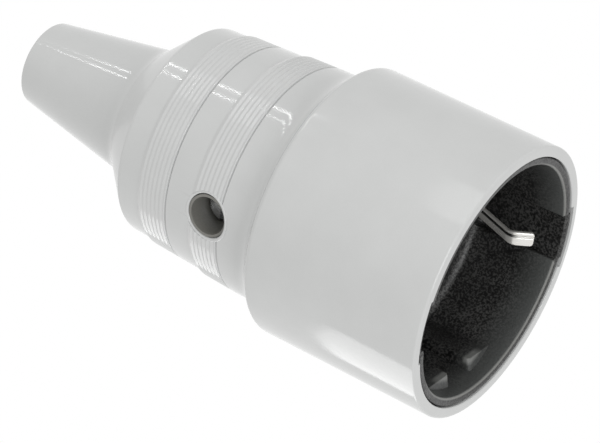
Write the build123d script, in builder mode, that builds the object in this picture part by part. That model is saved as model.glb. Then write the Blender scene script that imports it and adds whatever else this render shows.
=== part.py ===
"""Two-pole inline socket with side earth clips, standing on its mouth.

An elastic sleeve, with a cord nozzle moulded on, holds a hard insert. The insert is a
socket front and a contact carrier, with the line contacts, the earth strip, their
terminals and a cord clamp that is tightened through a hole in the side of the sleeve.

Origin: middle of the mouth rim. +Z: from the mouth to the nozzle. X: line of the two pins.
Y: line of the two earth clips. All sizes are in millimetres.
"""

import os
from math import radians, sqrt, tan

from build123d import *

os.makedirs("parts", exist_ok=True)

# Sleeve, outer form
SLEEVE_LEN = 95.3
DRUM_R = 24.45
DRUM_LEN = 33.7
DRUM_EDGE_R = 1.3
SCOOP_R = 6.4
NECK_R = 21.05
NECK_TAPER = 0.045
FRONT_BAND = 2.6
MIDDLE_BAND = 4.9
REAR_BAND = 4.4
GROOVE_W = 0.45
GROOVE_DEPTH = 0.4
RIBBED_BAND = 5.3
RIB_COUNT = 6
FRONT_RIB_DEPTH = 0.2
REAR_RIB_DEPTH = 0.14
STEP_LEN = 0.75
STEP_HEIGHT = 0.42
SHOULDER_ANGLE = 44.2
SHOULDER_EDGE_R = 0.9
NOZZLE_ANGLE = 9.8
NOZZLE_TIP_R = 7.6
NOZZLE_ROOT_FILLET = 5.0
NOZZLE_EDGE_R = 0.7

# Sleeve, inner form
DRUM_WALL = 1.95
MOUTH_EDGE_R = 0.45
KEYWAY_W = 11.9
KEYWAY_LEN = 14.0
INSERT_SEAT_Z = 31.0
NECK_BORE_R = 17.2
SHOULDER_WALL = 2.3
NOZZLE_BORE_ROOT_R = 8.6
CORD_BORE_R = 4.8
CORD_BORE_LEN = 12.0

# Hole in the side of the sleeve, over the cord clamp screw
SIDE_HOLE_R = 3.9
SIDE_HOLE_OFFSET = 5.45
HOLE_RING_W = 0.6
HOLE_EDGE_R = 0.35
BOSS_SETBACK = 0.5

# Socket front
RIM_SETBACK = 0.3
RECESS_WALL = 1.4
RECESS_DRAFT = 0.7
RECESS_DEPTH = 16.2
RECESS_FLOOR_FILLET = 1.5
FLOOR_T = 4.0
SKIRT_T = 2.1
PIN_SPACING = 19.0
PIN_HOLE_R = 2.8
PIN_LEAD_IN = 0.8
GUIDE_HEIGHT = 2.5
GUIDE_SETBACK = 3.5
GUIDE_LEAD = 1.05
GUIDE_GAP_W = 6.2
GUIDE_EDGE_R = 0.8
CLIP_SLOT_W = 8.7
CLIP_WEB_T = 1.05
KEY_W = 8.8
KEY_HEIGHT = 0.6
KEY_END_GAP = 0.5

# Earth strip
STRIP_T = 0.8
CLIP_W = 2.6
STRIP_BASE_W = 6.4
CLIP_ROOT_SETBACK = 2.0
CLIP_BEND_Y = 14.3
CLIP_BEND_Z = 6.4
CLIP_TIP_Y = 16.9
CLIP_TIP_Z = 3.4
CLIP_BEND_R = 1.3
LINK_OVERRUN = 5.3
EARTH_RIVET_Y = 8.8
RIVET_R = 1.0
RIVET_HEAD_R = 1.9
RIVET_HEAD_T = 0.6

# Line contacts
SLEEVE_CONTACT_LEN = 15.0
CONTACT_BORE_R = 2.45
CONTACT_R = 3.3
CONTACT_SLIT_W = 0.7
CONTACT_SLIT_LEN = 10.0
SPRING_T = 0.45
SPRING_W = 2.8
SPRING_OFFSET = 1.7
SPRING_GAP_W = 2.4

# Terminals
BLOCK_W = 6.4
BLOCK_LEN = 9.0
LINE_BLOCK_T = 6.0
LINE_BLOCK_Y = -0.4
EARTH_BLOCK_T = 3.0
EARTH_BLOCK_SETBACK = 1.4
TERMINAL_OFFSET = 5.0
PLATE_W = 6.2
PLATE_T = 0.9

# Screws
SCREW_R = 1.45
SCREW_HEAD_R = 2.55
SCREW_HEAD_T = 1.9
SCREW_SLOT_W = 0.8
SCREW_SLOT_DEPTH = 0.9
SCREW_EDGE_R = 0.4
CARRIER_SCREW_X = 10.0
CARRIER_SCREW_Y = 10.0
CARRIER_PILOT_DEPTH = 2.8

# Contact carrier
FLANGE_T = 5.0
WELL_LEN = 9.5
HOLLOW_R = 3.0
HOLLOW_LEN = 8.0
FRAME_OVERRUN = 6.2
FRAME_W = 9.4
FRAME_WALL = 1.2
SADDLE_Y = 5.0
SADDLE_T = 2.6
NUT_BLOCK_T = 5.0
CLAMP_SPACE_Y = 8.1
WINDOW_LEN = 3.5
GRIP_PITCH = 3.3
GRIP_HEIGHT = 0.8

# Cord clamp
CLAMP_HEAD_R = 3.0
CLAMP_HEAD_T = 2.0
CLAMP_HEAD_DEPTH = 5.0
NUT_W = 5.5
NUT_T = 2.4
NUT_Y = 10.6
JAW_Y = 3.8
JAW_T = 2.8
JAW_LEN = 10.0

# Clearances
INSERT_GAP = 0.2
FLANGE_GAP = 0.2
DRUM_GAP = 0.4
BOSS_GAP = 0.1
CLAMP_HEAD_GAP = 0.35
HEAD_GAP = 0.15
THREAD_GAP = 0.05
SHANK_GAP = 0.15
STRIP_GAP = 0.1
STRIP_PASSAGE_GAP = 0.3
NUT_GAP = 0.1
JAW_GAP = 0.3
CONTACT_GAP = 0.5
WELL_GAP = 0.4
SEAT_GAP = 0.2

# Stations along the sleeve, worked out from the sizes above
scoop_rise = SCOOP_R - (DRUM_R - NECK_R)
neck_start = DRUM_LEN + sqrt(SCOOP_R**2 - scoop_rise**2)
mouth_bore_r = DRUM_R - DRUM_WALL
side_hole_z = neck_start + SIDE_HOLE_OFFSET
side_hole_plane = Plane(origin=(0, -DRUM_R, side_hole_z), x_dir=(1, 0, 0), z_dir=(0, -1, 0))

# Stations of the insert
rim_z = RIM_SETBACK
floor_z = rim_z + RECESS_DEPTH
floor_back = floor_z + FLOOR_T
insert_r = mouth_bore_r - INSERT_GAP
skirt_bore_r = insert_r - SKIRT_T
recess_r = insert_r - RECESS_WALL
recess_floor_r = recess_r - RECESS_DRAFT
clip_root_y = recess_floor_r - CLIP_ROOT_SETBACK
pin_x = PIN_SPACING / 2
flange_back = floor_back + FLANGE_T
contact_front = floor_back + CONTACT_GAP
terminal_face = contact_front + SLEEVE_CONTACT_LEN
terminal_z = terminal_face + TERMINAL_OFFSET
frame_back = side_hole_z + FRAME_OVERRUN
thread_hole_r = SCREW_R + THREAD_GAP
shank_hole_r = SCREW_R + SHANK_GAP
strip_top = floor_back + STRIP_T
link_top = strip_top + STRIP_T
saddle_back = SADDLE_Y + SADDLE_T
earth_link_y = saddle_back + EARTH_BLOCK_SETBACK + EARTH_BLOCK_T + STRIP_T / 2


def belt(radius, start, plain_len, rib_depth):
    """Outline of one belt of the neck: plain band, groove, ribbed band and step down.

    Returns the outline points (radius, height); the last one is where the next band starts.
    """

    def surface(height):
        return radius - NECK_TAPER * (height - start)

    groove_start = start + plain_len
    groove_middle = groove_start + GROOVE_W / 2
    ribs_start = groove_start + GROOVE_W
    pitch = RIBBED_BAND / RIB_COUNT
    points = [(surface(groove_start), groove_start)]
    points.append((surface(groove_middle) - GROOVE_DEPTH, groove_middle))
    points.append((surface(ribs_start), ribs_start))
    for rib in range(RIB_COUNT):
        valley = ribs_start + (rib + 0.5) * pitch
        crest = ribs_start + (rib + 1) * pitch
        points.append((surface(valley) - rib_depth, valley))
        points.append((surface(crest), crest))
    step_end = ribs_start + RIBBED_BAND + STEP_LEN
    points.append((surface(step_end) - STEP_HEIGHT, step_end))
    return points


def slotted_screw(seat, head_r, head_t, length):
    """Pan head screw: its head stands on the seat plane and its shank goes down from it."""
    with BuildPart() as screw:
        with BuildSketch(seat):
            Circle(head_r)
        extrude(amount=head_t)
        circles = screw.edges().filter_by(GeomType.CIRCLE)
        rim = circles.sort_by_distance(seat.origin + seat.z_dir * 2 * head_t)[0]
        chamfer(rim, SCREW_EDGE_R)
        with BuildSketch(seat.offset(head_t - SCREW_SLOT_DEPTH)):
            Rectangle(2 * head_r, SCREW_SLOT_W)
        extrude(amount=SCREW_SLOT_DEPTH, mode=Mode.SUBTRACT)
        with BuildSketch(seat):
            Circle(SCREW_R)
        extrude(amount=-length)
    return screw.part


def clamp_plate(face):
    """Square pressure plate that lies on the face plane, with a hole for its screw."""
    with BuildPart() as plate:
        with BuildSketch(face):
            RectangleRounded(PLATE_W, PLATE_W, PLATE_T / 2)
            Circle(shank_hole_r, mode=Mode.SUBTRACT)
        extrude(amount=PLATE_T)
    return plate.part


# Sleeve: outline from the mouth, up the outside to the nozzle tip and back down the bore
front_belt = belt(NECK_R, neck_start, FRONT_BAND, FRONT_RIB_DEPTH)
middle_r, middle_start = front_belt[-1]
rear_belt = belt(middle_r, middle_start, MIDDLE_BAND, REAR_RIB_DEPTH)
rear_r, rear_start = rear_belt[-1]
shoulder_z = rear_start + REAR_BAND
shoulder_r = rear_r - NECK_TAPER * REAR_BAND
shoulder_slope = tan(radians(SHOULDER_ANGLE))
nozzle_slope = tan(radians(NOZZLE_ANGLE))
shoulder_line = shoulder_r + shoulder_slope * shoulder_z
nozzle_line = NOZZLE_TIP_R + nozzle_slope * SLEEVE_LEN
nozzle_root_z = (shoulder_line - nozzle_line) / (shoulder_slope - nozzle_slope)
nozzle_root_r = nozzle_line - nozzle_slope * nozzle_root_z
inner_shoulder_z = shoulder_z - SHOULDER_WALL
inner_root_z = inner_shoulder_z + (NECK_BORE_R - NOZZLE_BORE_ROOT_R) / shoulder_slope

# The smooth ring round the side hole runs straight from the front band to the middle band
ring_front_z = neck_start + FRONT_BAND
ring_slope = (front_belt[0][0] - middle_r) / (middle_start - ring_front_z)


def ring_surface(height):
    """Outer radius of the sleeve round the side hole at a height."""
    return front_belt[0][0] - ring_slope * (height - ring_front_z)


boss_end_y = ring_surface(side_hole_z) - BOSS_SETBACK
hole_ring_r = SIDE_HOLE_R + HOLE_RING_W
wall_cut = DRUM_R - NECK_BORE_R / 2

with BuildPart() as hole_ring:
    with BuildSketch(Plane.XZ):
        low = side_hole_z - 2 * SIDE_HOLE_R
        high = side_hole_z + 2 * SIDE_HOLE_R
        Polygon(
            (NECK_BORE_R, low),
            (ring_surface(low), low),
            (ring_surface(high), high),
            (NECK_BORE_R, high),
            align=None,
        )
    revolve(axis=Axis.Z)
    with BuildSketch(side_hole_plane):
        Circle(SIDE_HOLE_R)
    extrude(amount=-wall_cut, mode=Mode.SUBTRACT)
    fillet(hole_ring.edges().filter_by(GeomType.BSPLINE).sort_by(Axis.Y)[0], HOLE_EDGE_R)
    with BuildSketch(side_hole_plane):
        Circle(hole_ring_r)
    extrude(amount=-wall_cut, mode=Mode.INTERSECT)

with BuildPart() as housing:
    with BuildSketch(Plane.XZ) as sleeve_section:
        with BuildLine():
            Line((mouth_bore_r, 0), (DRUM_R, 0))
            Line((DRUM_R, 0), (DRUM_R, DRUM_LEN))
            scoop = CenterArc(
                (NECK_R + SCOOP_R, neck_start),
                SCOOP_R,
                180,
                Vector(scoop_rise, neck_start - DRUM_LEN).get_angle(Vector(1, 0)),
            )
            Polyline(scoop @ 0, *front_belt, *rear_belt, (shoulder_r, shoulder_z))
            Line((shoulder_r, shoulder_z), (nozzle_root_r, nozzle_root_z))
            Line((nozzle_root_r, nozzle_root_z), (NOZZLE_TIP_R, SLEEVE_LEN))
            Polyline(
                (NOZZLE_TIP_R, SLEEVE_LEN),
                (CORD_BORE_R, SLEEVE_LEN),
                (CORD_BORE_R, SLEEVE_LEN - CORD_BORE_LEN),
                (NOZZLE_BORE_ROOT_R, inner_root_z),
                (NECK_BORE_R, inner_shoulder_z),
                (NECK_BORE_R, INSERT_SEAT_Z),
                (mouth_bore_r, INSERT_SEAT_Z),
                (mouth_bore_r, 0),
            )
        make_face()
        for corner, radius in (
            ((DRUM_R, 0), MOUTH_EDGE_R),
            ((mouth_bore_r, 0), MOUTH_EDGE_R / 2),
            ((DRUM_R, DRUM_LEN), DRUM_EDGE_R),
            ((shoulder_r, shoulder_z), SHOULDER_EDGE_R),
            ((nozzle_root_r, nozzle_root_z), NOZZLE_ROOT_FILLET),
            ((NOZZLE_TIP_R, SLEEVE_LEN), NOZZLE_EDGE_R),
            ((CORD_BORE_R, SLEEVE_LEN), NOZZLE_EDGE_R),
        ):
            fillet(sleeve_section.vertices().sort_by_distance(corner)[0], radius)
    revolve(axis=Axis.Z)
    with BuildSketch(side_hole_plane):
        Circle(hole_ring_r)
    extrude(amount=-wall_cut, mode=Mode.SUBTRACT)
    add(hole_ring.part)

    # Keyways in the bore, open at the mouth
    with BuildSketch():
        Circle(mouth_bore_r + KEY_HEIGHT)
        Rectangle(KEYWAY_W, 2 * DRUM_R, mode=Mode.INTERSECT)
    extrude(amount=KEYWAY_LEN, mode=Mode.SUBTRACT)

housing.part.label = "housing"
export_step(housing.part, "parts/housing.step")

# Guides on the pin line: two flat pads on each side, sloped at the mouth end, with a gap between
guide_x = recess_r - GUIDE_HEIGHT
guide_z = rim_z + GUIDE_SETBACK
guide_root_r = (recess_r + insert_r) / 2
guide_end = floor_z + FLOOR_T / 2

with BuildPart() as guides:
    with BuildSketch(Plane.XZ):
        Polygon(
            (guide_root_r, guide_z - GUIDE_LEAD),
            (guide_x, guide_z),
            (guide_x, guide_end),
            (guide_root_r, guide_end),
            align=None,
        )
        mirror(about=Plane.YZ)
    extrude(amount=guide_root_r, both=True)
    with BuildSketch():
        Circle(guide_root_r)
        Rectangle(2 * guide_root_r, GUIDE_GAP_W, mode=Mode.SUBTRACT)
    extrude(amount=guide_end, mode=Mode.INTERSECT)
    straight_edges = guides.edges().filter_by(GeomType.LINE)
    lead_edges = straight_edges.filter_by_position(Axis.Z, guide_z - GUIDE_LEAD, guide_z, (False, False))
    fillet(lead_edges, GUIDE_EDGE_R)

# Socket front: rim, recess, keys, clip slots and floor, with the skirt behind
passage_w = CLIP_W + 2 * STRIP_PASSAGE_GAP
passage_in = clip_root_y - CLIP_BEND_R - STRIP_PASSAGE_GAP
passage_out = clip_root_y + STRIP_T / 2 + STRIP_PASSAGE_GAP
passage_y = (passage_in + passage_out) / 2

with BuildPart() as socket_front:
    with BuildSketch(Plane.XZ) as front_section:
        with BuildLine():
            Polyline(
                (recess_r, rim_z),
                (insert_r, rim_z),
                (insert_r, INSERT_SEAT_Z),
                (skirt_bore_r, INSERT_SEAT_Z),
                (skirt_bore_r, floor_back),
                (0, floor_back),
                (0, floor_z),
                (recess_floor_r, floor_z),
                close=True,
            )
        make_face()
        fillet(front_section.vertices().sort_by_distance((recess_floor_r, floor_z))[0], RECESS_FLOOR_FILLET)
        fillet(front_section.vertices().sort_by_distance((recess_r, rim_z))[0], MOUTH_EDGE_R)
        fillet(front_section.vertices().sort_by_distance((insert_r, rim_z))[0], MOUTH_EDGE_R / 2)
    revolve(axis=Axis.Z)

    # Keys on the outside of the wall, and behind each a clip slot that is open at the rim
    with BuildSketch(Plane.XY.offset(rim_z)):
        Circle(insert_r + KEY_HEIGHT)
        Rectangle(KEY_W, 2 * DRUM_R, mode=Mode.INTERSECT)
        Circle(recess_r, mode=Mode.SUBTRACT)
    extrude(amount=KEYWAY_LEN - KEY_END_GAP - rim_z)
    with BuildSketch(Plane.XY.offset(floor_z)):
        Circle(insert_r + KEY_HEIGHT - CLIP_WEB_T)
        Rectangle(CLIP_SLOT_W, 2 * DRUM_R, mode=Mode.INTERSECT)
    extrude(amount=-floor_z, mode=Mode.SUBTRACT)

    add(guides.part)

    # Pin holes with a lead-in
    with BuildSketch(Plane.XY.offset(floor_z)):
        with Locations((-pin_x, 0), (pin_x, 0)):
            Circle(PIN_HOLE_R)
    extrude(amount=FLOOR_T, mode=Mode.SUBTRACT)
    lead_ins = socket_front.faces().filter_by(Plane.XY).sort_by_distance((0, 0, floor_z))[0].inner_wires()
    chamfer([wire.edges()[0] for wire in lead_ins], PIN_LEAD_IN)

    # Passages for the two clips, pilot holes for the carrier screws and a pocket for the rivet
    with BuildSketch(Plane.XY.offset(floor_z)):
        with Locations((0, -passage_y), (0, passage_y)):
            Rectangle(passage_w, passage_out - passage_in)
    extrude(amount=FLOOR_T, mode=Mode.SUBTRACT)
    with BuildSketch(Plane.XY.offset(floor_back)):
        with Locations((-CARRIER_SCREW_X, -CARRIER_SCREW_Y), (CARRIER_SCREW_X, -CARRIER_SCREW_Y)):
            Circle(thread_hole_r)
    extrude(amount=-CARRIER_PILOT_DEPTH, mode=Mode.SUBTRACT)
    with BuildSketch(Plane.XY.offset(floor_back)):
        with Locations((0, EARTH_RIVET_Y)):
            Circle(RIVET_HEAD_R + STRIP_GAP)
    extrude(amount=-(RIVET_HEAD_T + STRIP_GAP), mode=Mode.SUBTRACT)

socket_front.part.label = "socket_front"
export_step(socket_front.part, "parts/socket_front.step")

# Contact carrier: flange, drum with the contact wells, clamp frame and screw boss
drum_r = NECK_BORE_R - DRUM_GAP
well_r = CONTACT_R + SPRING_T + WELL_GAP
frame_outer_w = FRAME_W + 2 * FRAME_WALL
nut_block_out = CLAMP_SPACE_Y + NUT_BLOCK_T
clamp_head_y = boss_end_y + BOSS_SETBACK - CLAMP_HEAD_DEPTH - CLAMP_HEAD_T
strip_slot_w = STRIP_BASE_W + 2 * STRIP_GAP
link_slot_t = STRIP_T + 2 * STRIP_GAP
head_well_r = SCREW_HEAD_R + HEAD_GAP
clamp_bore_r = CLAMP_HEAD_R + CLAMP_HEAD_GAP

with BuildPart() as contact_carrier:
    with BuildSketch(Plane.XY.offset(floor_back)):
        Circle(skirt_bore_r - FLANGE_GAP)
    extrude(amount=FLANGE_T)
    with BuildSketch(Plane.XY.offset(flange_back)):
        Circle(drum_r)
    extrude(amount=terminal_face - flange_back)

    # Contact wells: wide at the front for the springs, close to the contact behind
    with BuildSketch(Plane.XY.offset(floor_back)):
        with Locations((-pin_x, 0), (pin_x, 0)):
            Circle(well_r)
    extrude(amount=WELL_LEN, mode=Mode.SUBTRACT)
    with BuildSketch(Plane.XY.offset(terminal_face)):
        with Locations((-pin_x, 0), (pin_x, 0)):
            Circle(CONTACT_R + SEAT_GAP)
    extrude(amount=-(terminal_face - floor_back), mode=Mode.SUBTRACT)

    # Seats of the earth strip and of the foot of its link in the front face
    with BuildSketch(Plane.XY.offset(floor_back)):
        Rectangle(strip_slot_w, 2 * skirt_bore_r)
    extrude(amount=STRIP_T, mode=Mode.SUBTRACT)
    with BuildSketch(Plane.XY.offset(strip_top)):
        with Locations((0, (EARTH_RIVET_Y + earth_link_y) / 2)):
            foot_slot_len = earth_link_y - EARTH_RIVET_Y + STRIP_BASE_W + 2 * STRIP_GAP
            Rectangle(strip_slot_w, foot_slot_len)
    extrude(amount=STRIP_T + STRIP_GAP, mode=Mode.SUBTRACT)
    with BuildSketch(Plane.XY.offset(strip_top)):
        with Locations((0, EARTH_RIVET_Y)):
            Circle(RIVET_HEAD_R + STRIP_GAP)
    extrude(amount=STRIP_T + RIVET_HEAD_T + STRIP_GAP, mode=Mode.SUBTRACT)
    with BuildSketch(Plane.XY.offset(floor_back)):
        with Locations((0, earth_link_y)):
            Rectangle(strip_slot_w, link_slot_t)
    extrude(amount=terminal_face - floor_back, mode=Mode.SUBTRACT)

    # Carrier screws: shank holes, and head wells that are open to the rear and outwards
    with BuildSketch(Plane.XY.offset(floor_back)):
        with Locations((-CARRIER_SCREW_X, -CARRIER_SCREW_Y), (CARRIER_SCREW_X, -CARRIER_SCREW_Y)):
            Circle(shank_hole_r)
    extrude(amount=FLANGE_T, mode=Mode.SUBTRACT)
    with BuildSketch(Plane.XY.offset(flange_back)):
        for side in (-1, 1):
            with Locations((side * CARRIER_SCREW_X, -CARRIER_SCREW_Y)):
                Circle(head_well_r)
            with Locations((side * CARRIER_SCREW_X, -CARRIER_SCREW_Y - drum_r / 2)):
                Rectangle(2 * head_well_r, drum_r)
    extrude(amount=terminal_face - flange_back, mode=Mode.SUBTRACT)

    # Hollows that keep the walls even
    with BuildSketch(Plane.XY.offset(terminal_face)):
        with Locations((-CARRIER_SCREW_X, CARRIER_SCREW_Y), (CARRIER_SCREW_X, CARRIER_SCREW_Y)):
            Circle(HOLLOW_R)
        Rectangle(FRAME_W - 2 * FRAME_WALL, FRAME_W)
    extrude(amount=-HOLLOW_LEN, mode=Mode.SUBTRACT)

    # Clamp frame with windows for the conductors
    with BuildSketch(Plane.XY.offset(terminal_face)):
        with Locations((0, (saddle_back - nut_block_out) / 2)):
            Rectangle(frame_outer_w, saddle_back + nut_block_out)
        with Locations((0, (SADDLE_Y - CLAMP_SPACE_Y) / 2)):
            Rectangle(FRAME_W, SADDLE_Y + CLAMP_SPACE_Y, mode=Mode.SUBTRACT)
    extrude(amount=frame_back - terminal_face)
    with BuildSketch(Plane.XY.offset(terminal_face)):
        Rectangle(2 * frame_outer_w, 2 * JAW_Y)
        with Locations((0, saddle_back)):
            Rectangle(FRAME_W / 2, 3 * SADDLE_T)
    extrude(amount=WINDOW_LEN, mode=Mode.SUBTRACT)

    # Grip ridges on the fixed side of the clamp
    with BuildSketch(Plane.YZ):
        for row in (-1, 0, 1):
            ridge_z = side_hole_z + row * GRIP_PITCH
            Polygon(
                (SADDLE_Y, ridge_z - GRIP_HEIGHT),
                (SADDLE_Y - GRIP_HEIGHT, ridge_z),
                (SADDLE_Y, ridge_z + GRIP_HEIGHT),
                align=None,
            )
    extrude(amount=FRAME_W / 2, both=True)

    # Boss through the sleeve wall, nut pocket and bore for the clamp screw
    with BuildSketch(side_hole_plane.offset(nut_block_out - DRUM_R)):
        Circle(SIDE_HOLE_R - BOSS_GAP)
    extrude(amount=boss_end_y - nut_block_out)
    with BuildSketch(side_hole_plane.offset(boss_end_y - DRUM_R)):
        Circle(clamp_bore_r)
    extrude(amount=-(boss_end_y - clamp_head_y + SEAT_GAP), mode=Mode.SUBTRACT)
    with BuildSketch(side_hole_plane.offset(clamp_head_y - DRUM_R)):
        Circle(shank_hole_r)
    extrude(amount=CLAMP_SPACE_Y - clamp_head_y, mode=Mode.SUBTRACT)
    with BuildSketch(Plane.XY.offset(side_hole_z - NUT_W / 2 - NUT_GAP)):
        with Locations((0, -NUT_Y)):
            Rectangle(NUT_W + 2 * NUT_GAP, NUT_T + 2 * NUT_GAP)
    extrude(amount=frame_back - side_hole_z + NUT_W, mode=Mode.SUBTRACT)

contact_carrier.part.label = "contact_carrier"
export_step(contact_carrier.part, "parts/contact_carrier.step")

# Earth strip: one bent strip with a spring clip at each end
strip_mid = floor_back + STRIP_T / 2

with BuildPart() as earth_strap:
    with BuildSketch(Plane.YZ):
        with BuildLine():
            FilletPolyline(
                (0, strip_mid),
                (clip_root_y, strip_mid),
                (clip_root_y, floor_z - STRIP_T),
                (CLIP_BEND_Y, CLIP_BEND_Z),
                (CLIP_TIP_Y, CLIP_TIP_Z),
                radius=CLIP_BEND_R,
            )
        trace(line_width=STRIP_T)
        mirror(about=Plane.YZ)
    extrude(amount=CLIP_W / 2, both=True)
    with BuildSketch(Plane.XY.offset(floor_back)):
        RectangleRounded(STRIP_BASE_W, 2 * (clip_root_y - CLIP_W), CLIP_W / 2)
        with Locations((0, EARTH_RIVET_Y)):
            Circle(RIVET_R + THREAD_GAP, mode=Mode.SUBTRACT)
    extrude(amount=STRIP_T)
    with BuildSketch(Plane.XY.offset(floor_back)):
        with Locations((0, EARTH_RIVET_Y)):
            Circle(RIVET_R + THREAD_GAP)
    extrude(amount=STRIP_T, mode=Mode.SUBTRACT)

earth_strap.part.label = "earth_strap"
export_step(earth_strap.part, "parts/earth_strap.step")

# Earth link: angle strip from the earth strip up to the earth terminal
link_face = earth_link_y + STRIP_T / 2
link_inner = earth_link_y - STRIP_T / 2
earth_face_plane = Plane(origin=(0, link_face, terminal_z), x_dir=(-1, 0, 0), z_dir=(0, 1, 0))

with BuildPart() as earth_link:
    with BuildSketch(Plane.YZ):
        with BuildLine():
            FilletPolyline(
                (EARTH_RIVET_Y - STRIP_BASE_W / 2, strip_top + STRIP_T / 2),
                (earth_link_y, strip_top + STRIP_T / 2),
                (earth_link_y, terminal_z + LINK_OVERRUN),
                radius=STRIP_T,
            )
        trace(line_width=STRIP_T)
    extrude(amount=STRIP_BASE_W / 2, both=True)
    with BuildSketch(Plane.XY.offset(strip_top)):
        with Locations((0, EARTH_RIVET_Y)):
            Circle(RIVET_R + THREAD_GAP)
    extrude(amount=STRIP_T, mode=Mode.SUBTRACT)
    with BuildSketch(earth_face_plane):
        Circle(shank_hole_r)
    extrude(amount=-STRIP_T, mode=Mode.SUBTRACT)

earth_link.part.label = "earth_link"
export_step(earth_link.part, "parts/earth_link.step")

# Rivet that joins the link to the strip
with BuildPart() as earth_rivet:
    with BuildSketch(Plane.XY.offset(floor_back - RIVET_HEAD_T)):
        with Locations((0, EARTH_RIVET_Y)):
            Circle(RIVET_HEAD_R)
    extrude(amount=RIVET_HEAD_T)
    with BuildSketch(Plane.XY.offset(floor_back)):
        with Locations((0, EARTH_RIVET_Y)):
            Circle(RIVET_R)
    extrude(amount=2 * STRIP_T)
    with BuildSketch(Plane.XY.offset(link_top)):
        with Locations((0, EARTH_RIVET_Y)):
            Circle(RIVET_HEAD_R)
    extrude(amount=RIVET_HEAD_T)

earth_rivet.part.label = "earth_rivet"
export_step(earth_rivet.part, "parts/earth_rivet.step")

# Earth terminal: tapped block behind the link, plate and screw in front of it
with BuildPart() as earth_terminal:
    with BuildSketch(Plane.XY.offset(terminal_face)):
        with Locations((0, link_inner - EARTH_BLOCK_T / 2)):
            Rectangle(BLOCK_W, EARTH_BLOCK_T)
    extrude(amount=BLOCK_LEN)
    with BuildSketch(earth_face_plane.offset(-STRIP_T)):
        Circle(thread_hole_r)
    extrude(amount=-EARTH_BLOCK_T, mode=Mode.SUBTRACT)

earth_terminal.part.label = "earth_terminal"
export_step(earth_terminal.part, "parts/earth_terminal.step")

earth_clamp_plate = clamp_plate(earth_face_plane)
earth_clamp_plate.label = "earth_clamp_plate"
export_step(earth_clamp_plate, "parts/earth_clamp_plate.step")

earth_screw_len = PLATE_T + STRIP_T + EARTH_BLOCK_T
earth_terminal_screw = slotted_screw(
    earth_face_plane.offset(PLATE_T), SCREW_HEAD_R, SCREW_HEAD_T, earth_screw_len
)
earth_terminal_screw.label = "earth_terminal_screw"
export_step(earth_terminal_screw, "parts/earth_terminal_screw.step")

# Line contacts with their springs, plates and screws
spring_z = contact_front + SPRING_OFFSET
block_top_y = LINE_BLOCK_Y + LINE_BLOCK_T / 2

for side_name, side_x in (("left", -pin_x), ("right", pin_x)):
    line_face_plane = Plane(origin=(side_x, block_top_y, terminal_z), x_dir=(-1, 0, 0), z_dir=(0, 1, 0))

    with BuildPart() as line_contact:
        with BuildSketch(Plane.XY.offset(contact_front)):
            with Locations((side_x, 0)):
                Circle(CONTACT_R)
        extrude(amount=SLEEVE_CONTACT_LEN)
        with BuildSketch(Plane.XY.offset(terminal_face)):
            with Locations((side_x, LINE_BLOCK_Y)):
                Rectangle(BLOCK_W, LINE_BLOCK_T)
        extrude(amount=BLOCK_LEN)
        with BuildSketch(Plane.XY.offset(contact_front)):
            with Locations((side_x, 0)):
                Circle(CONTACT_BORE_R)
        extrude(amount=SLEEVE_CONTACT_LEN, mode=Mode.SUBTRACT)
        with BuildSketch(Plane.XY.offset(contact_front)):
            with Locations((side_x, 0)):
                Rectangle(CONTACT_SLIT_W, 2 * CONTACT_R)
                Rectangle(2 * CONTACT_R, CONTACT_SLIT_W)
        extrude(amount=CONTACT_SLIT_LEN, mode=Mode.SUBTRACT)
        with BuildSketch(line_face_plane):
            Circle(thread_hole_r)
        extrude(amount=-LINE_BLOCK_T, mode=Mode.SUBTRACT)

    line_contact.part.label = f"line_contact_{side_name}"
    export_step(line_contact.part, f"parts/line_contact_{side_name}.step")

    with BuildPart() as contact_spring:
        with BuildSketch(Plane.XY.offset(spring_z)):
            with Locations((side_x, 0)):
                Circle(CONTACT_R + THREAD_GAP + SPRING_T)
                Circle(CONTACT_R + THREAD_GAP, mode=Mode.SUBTRACT)
            with Locations((side_x, CONTACT_R)):
                Rectangle(SPRING_GAP_W, 2 * (SPRING_T + THREAD_GAP) + CONTACT_R / 2, mode=Mode.SUBTRACT)
        extrude(amount=SPRING_W)

    contact_spring.part.label = f"contact_spring_{side_name}"
    export_step(contact_spring.part, f"parts/contact_spring_{side_name}.step")

    line_clamp_plate = clamp_plate(line_face_plane)
    line_clamp_plate.label = f"line_clamp_plate_{side_name}"
    export_step(line_clamp_plate, f"parts/line_clamp_plate_{side_name}.step")

    line_terminal_screw = slotted_screw(
        line_face_plane.offset(PLATE_T), SCREW_HEAD_R, SCREW_HEAD_T, PLATE_T + LINE_BLOCK_T
    )
    line_terminal_screw.label = f"line_terminal_screw_{side_name}"
    export_step(line_terminal_screw, f"parts/line_terminal_screw_{side_name}.step")

    screw_x = CARRIER_SCREW_X if side_x > 0 else -CARRIER_SCREW_X
    carrier_seat = Plane(origin=(screw_x, -CARRIER_SCREW_Y, flange_back))
    carrier_screw = slotted_screw(
        carrier_seat, SCREW_HEAD_R, SCREW_HEAD_T, FLANGE_T + CARRIER_PILOT_DEPTH - SEAT_GAP
    )
    carrier_screw.label = f"carrier_screw_{side_name}"
    export_step(carrier_screw, f"parts/carrier_screw_{side_name}.step")

# Cord clamp: screw in the side boss, captive nut and the jaw that it presses on the cord
jaw_back = JAW_Y + JAW_T
clamp_seat = side_hole_plane.offset(clamp_head_y - DRUM_R)

cord_clamp_screw = slotted_screw(clamp_seat, CLAMP_HEAD_R, CLAMP_HEAD_T, clamp_head_y - jaw_back)
cord_clamp_screw.label = "cord_clamp_screw"
export_step(cord_clamp_screw, "parts/cord_clamp_screw.step")

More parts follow.
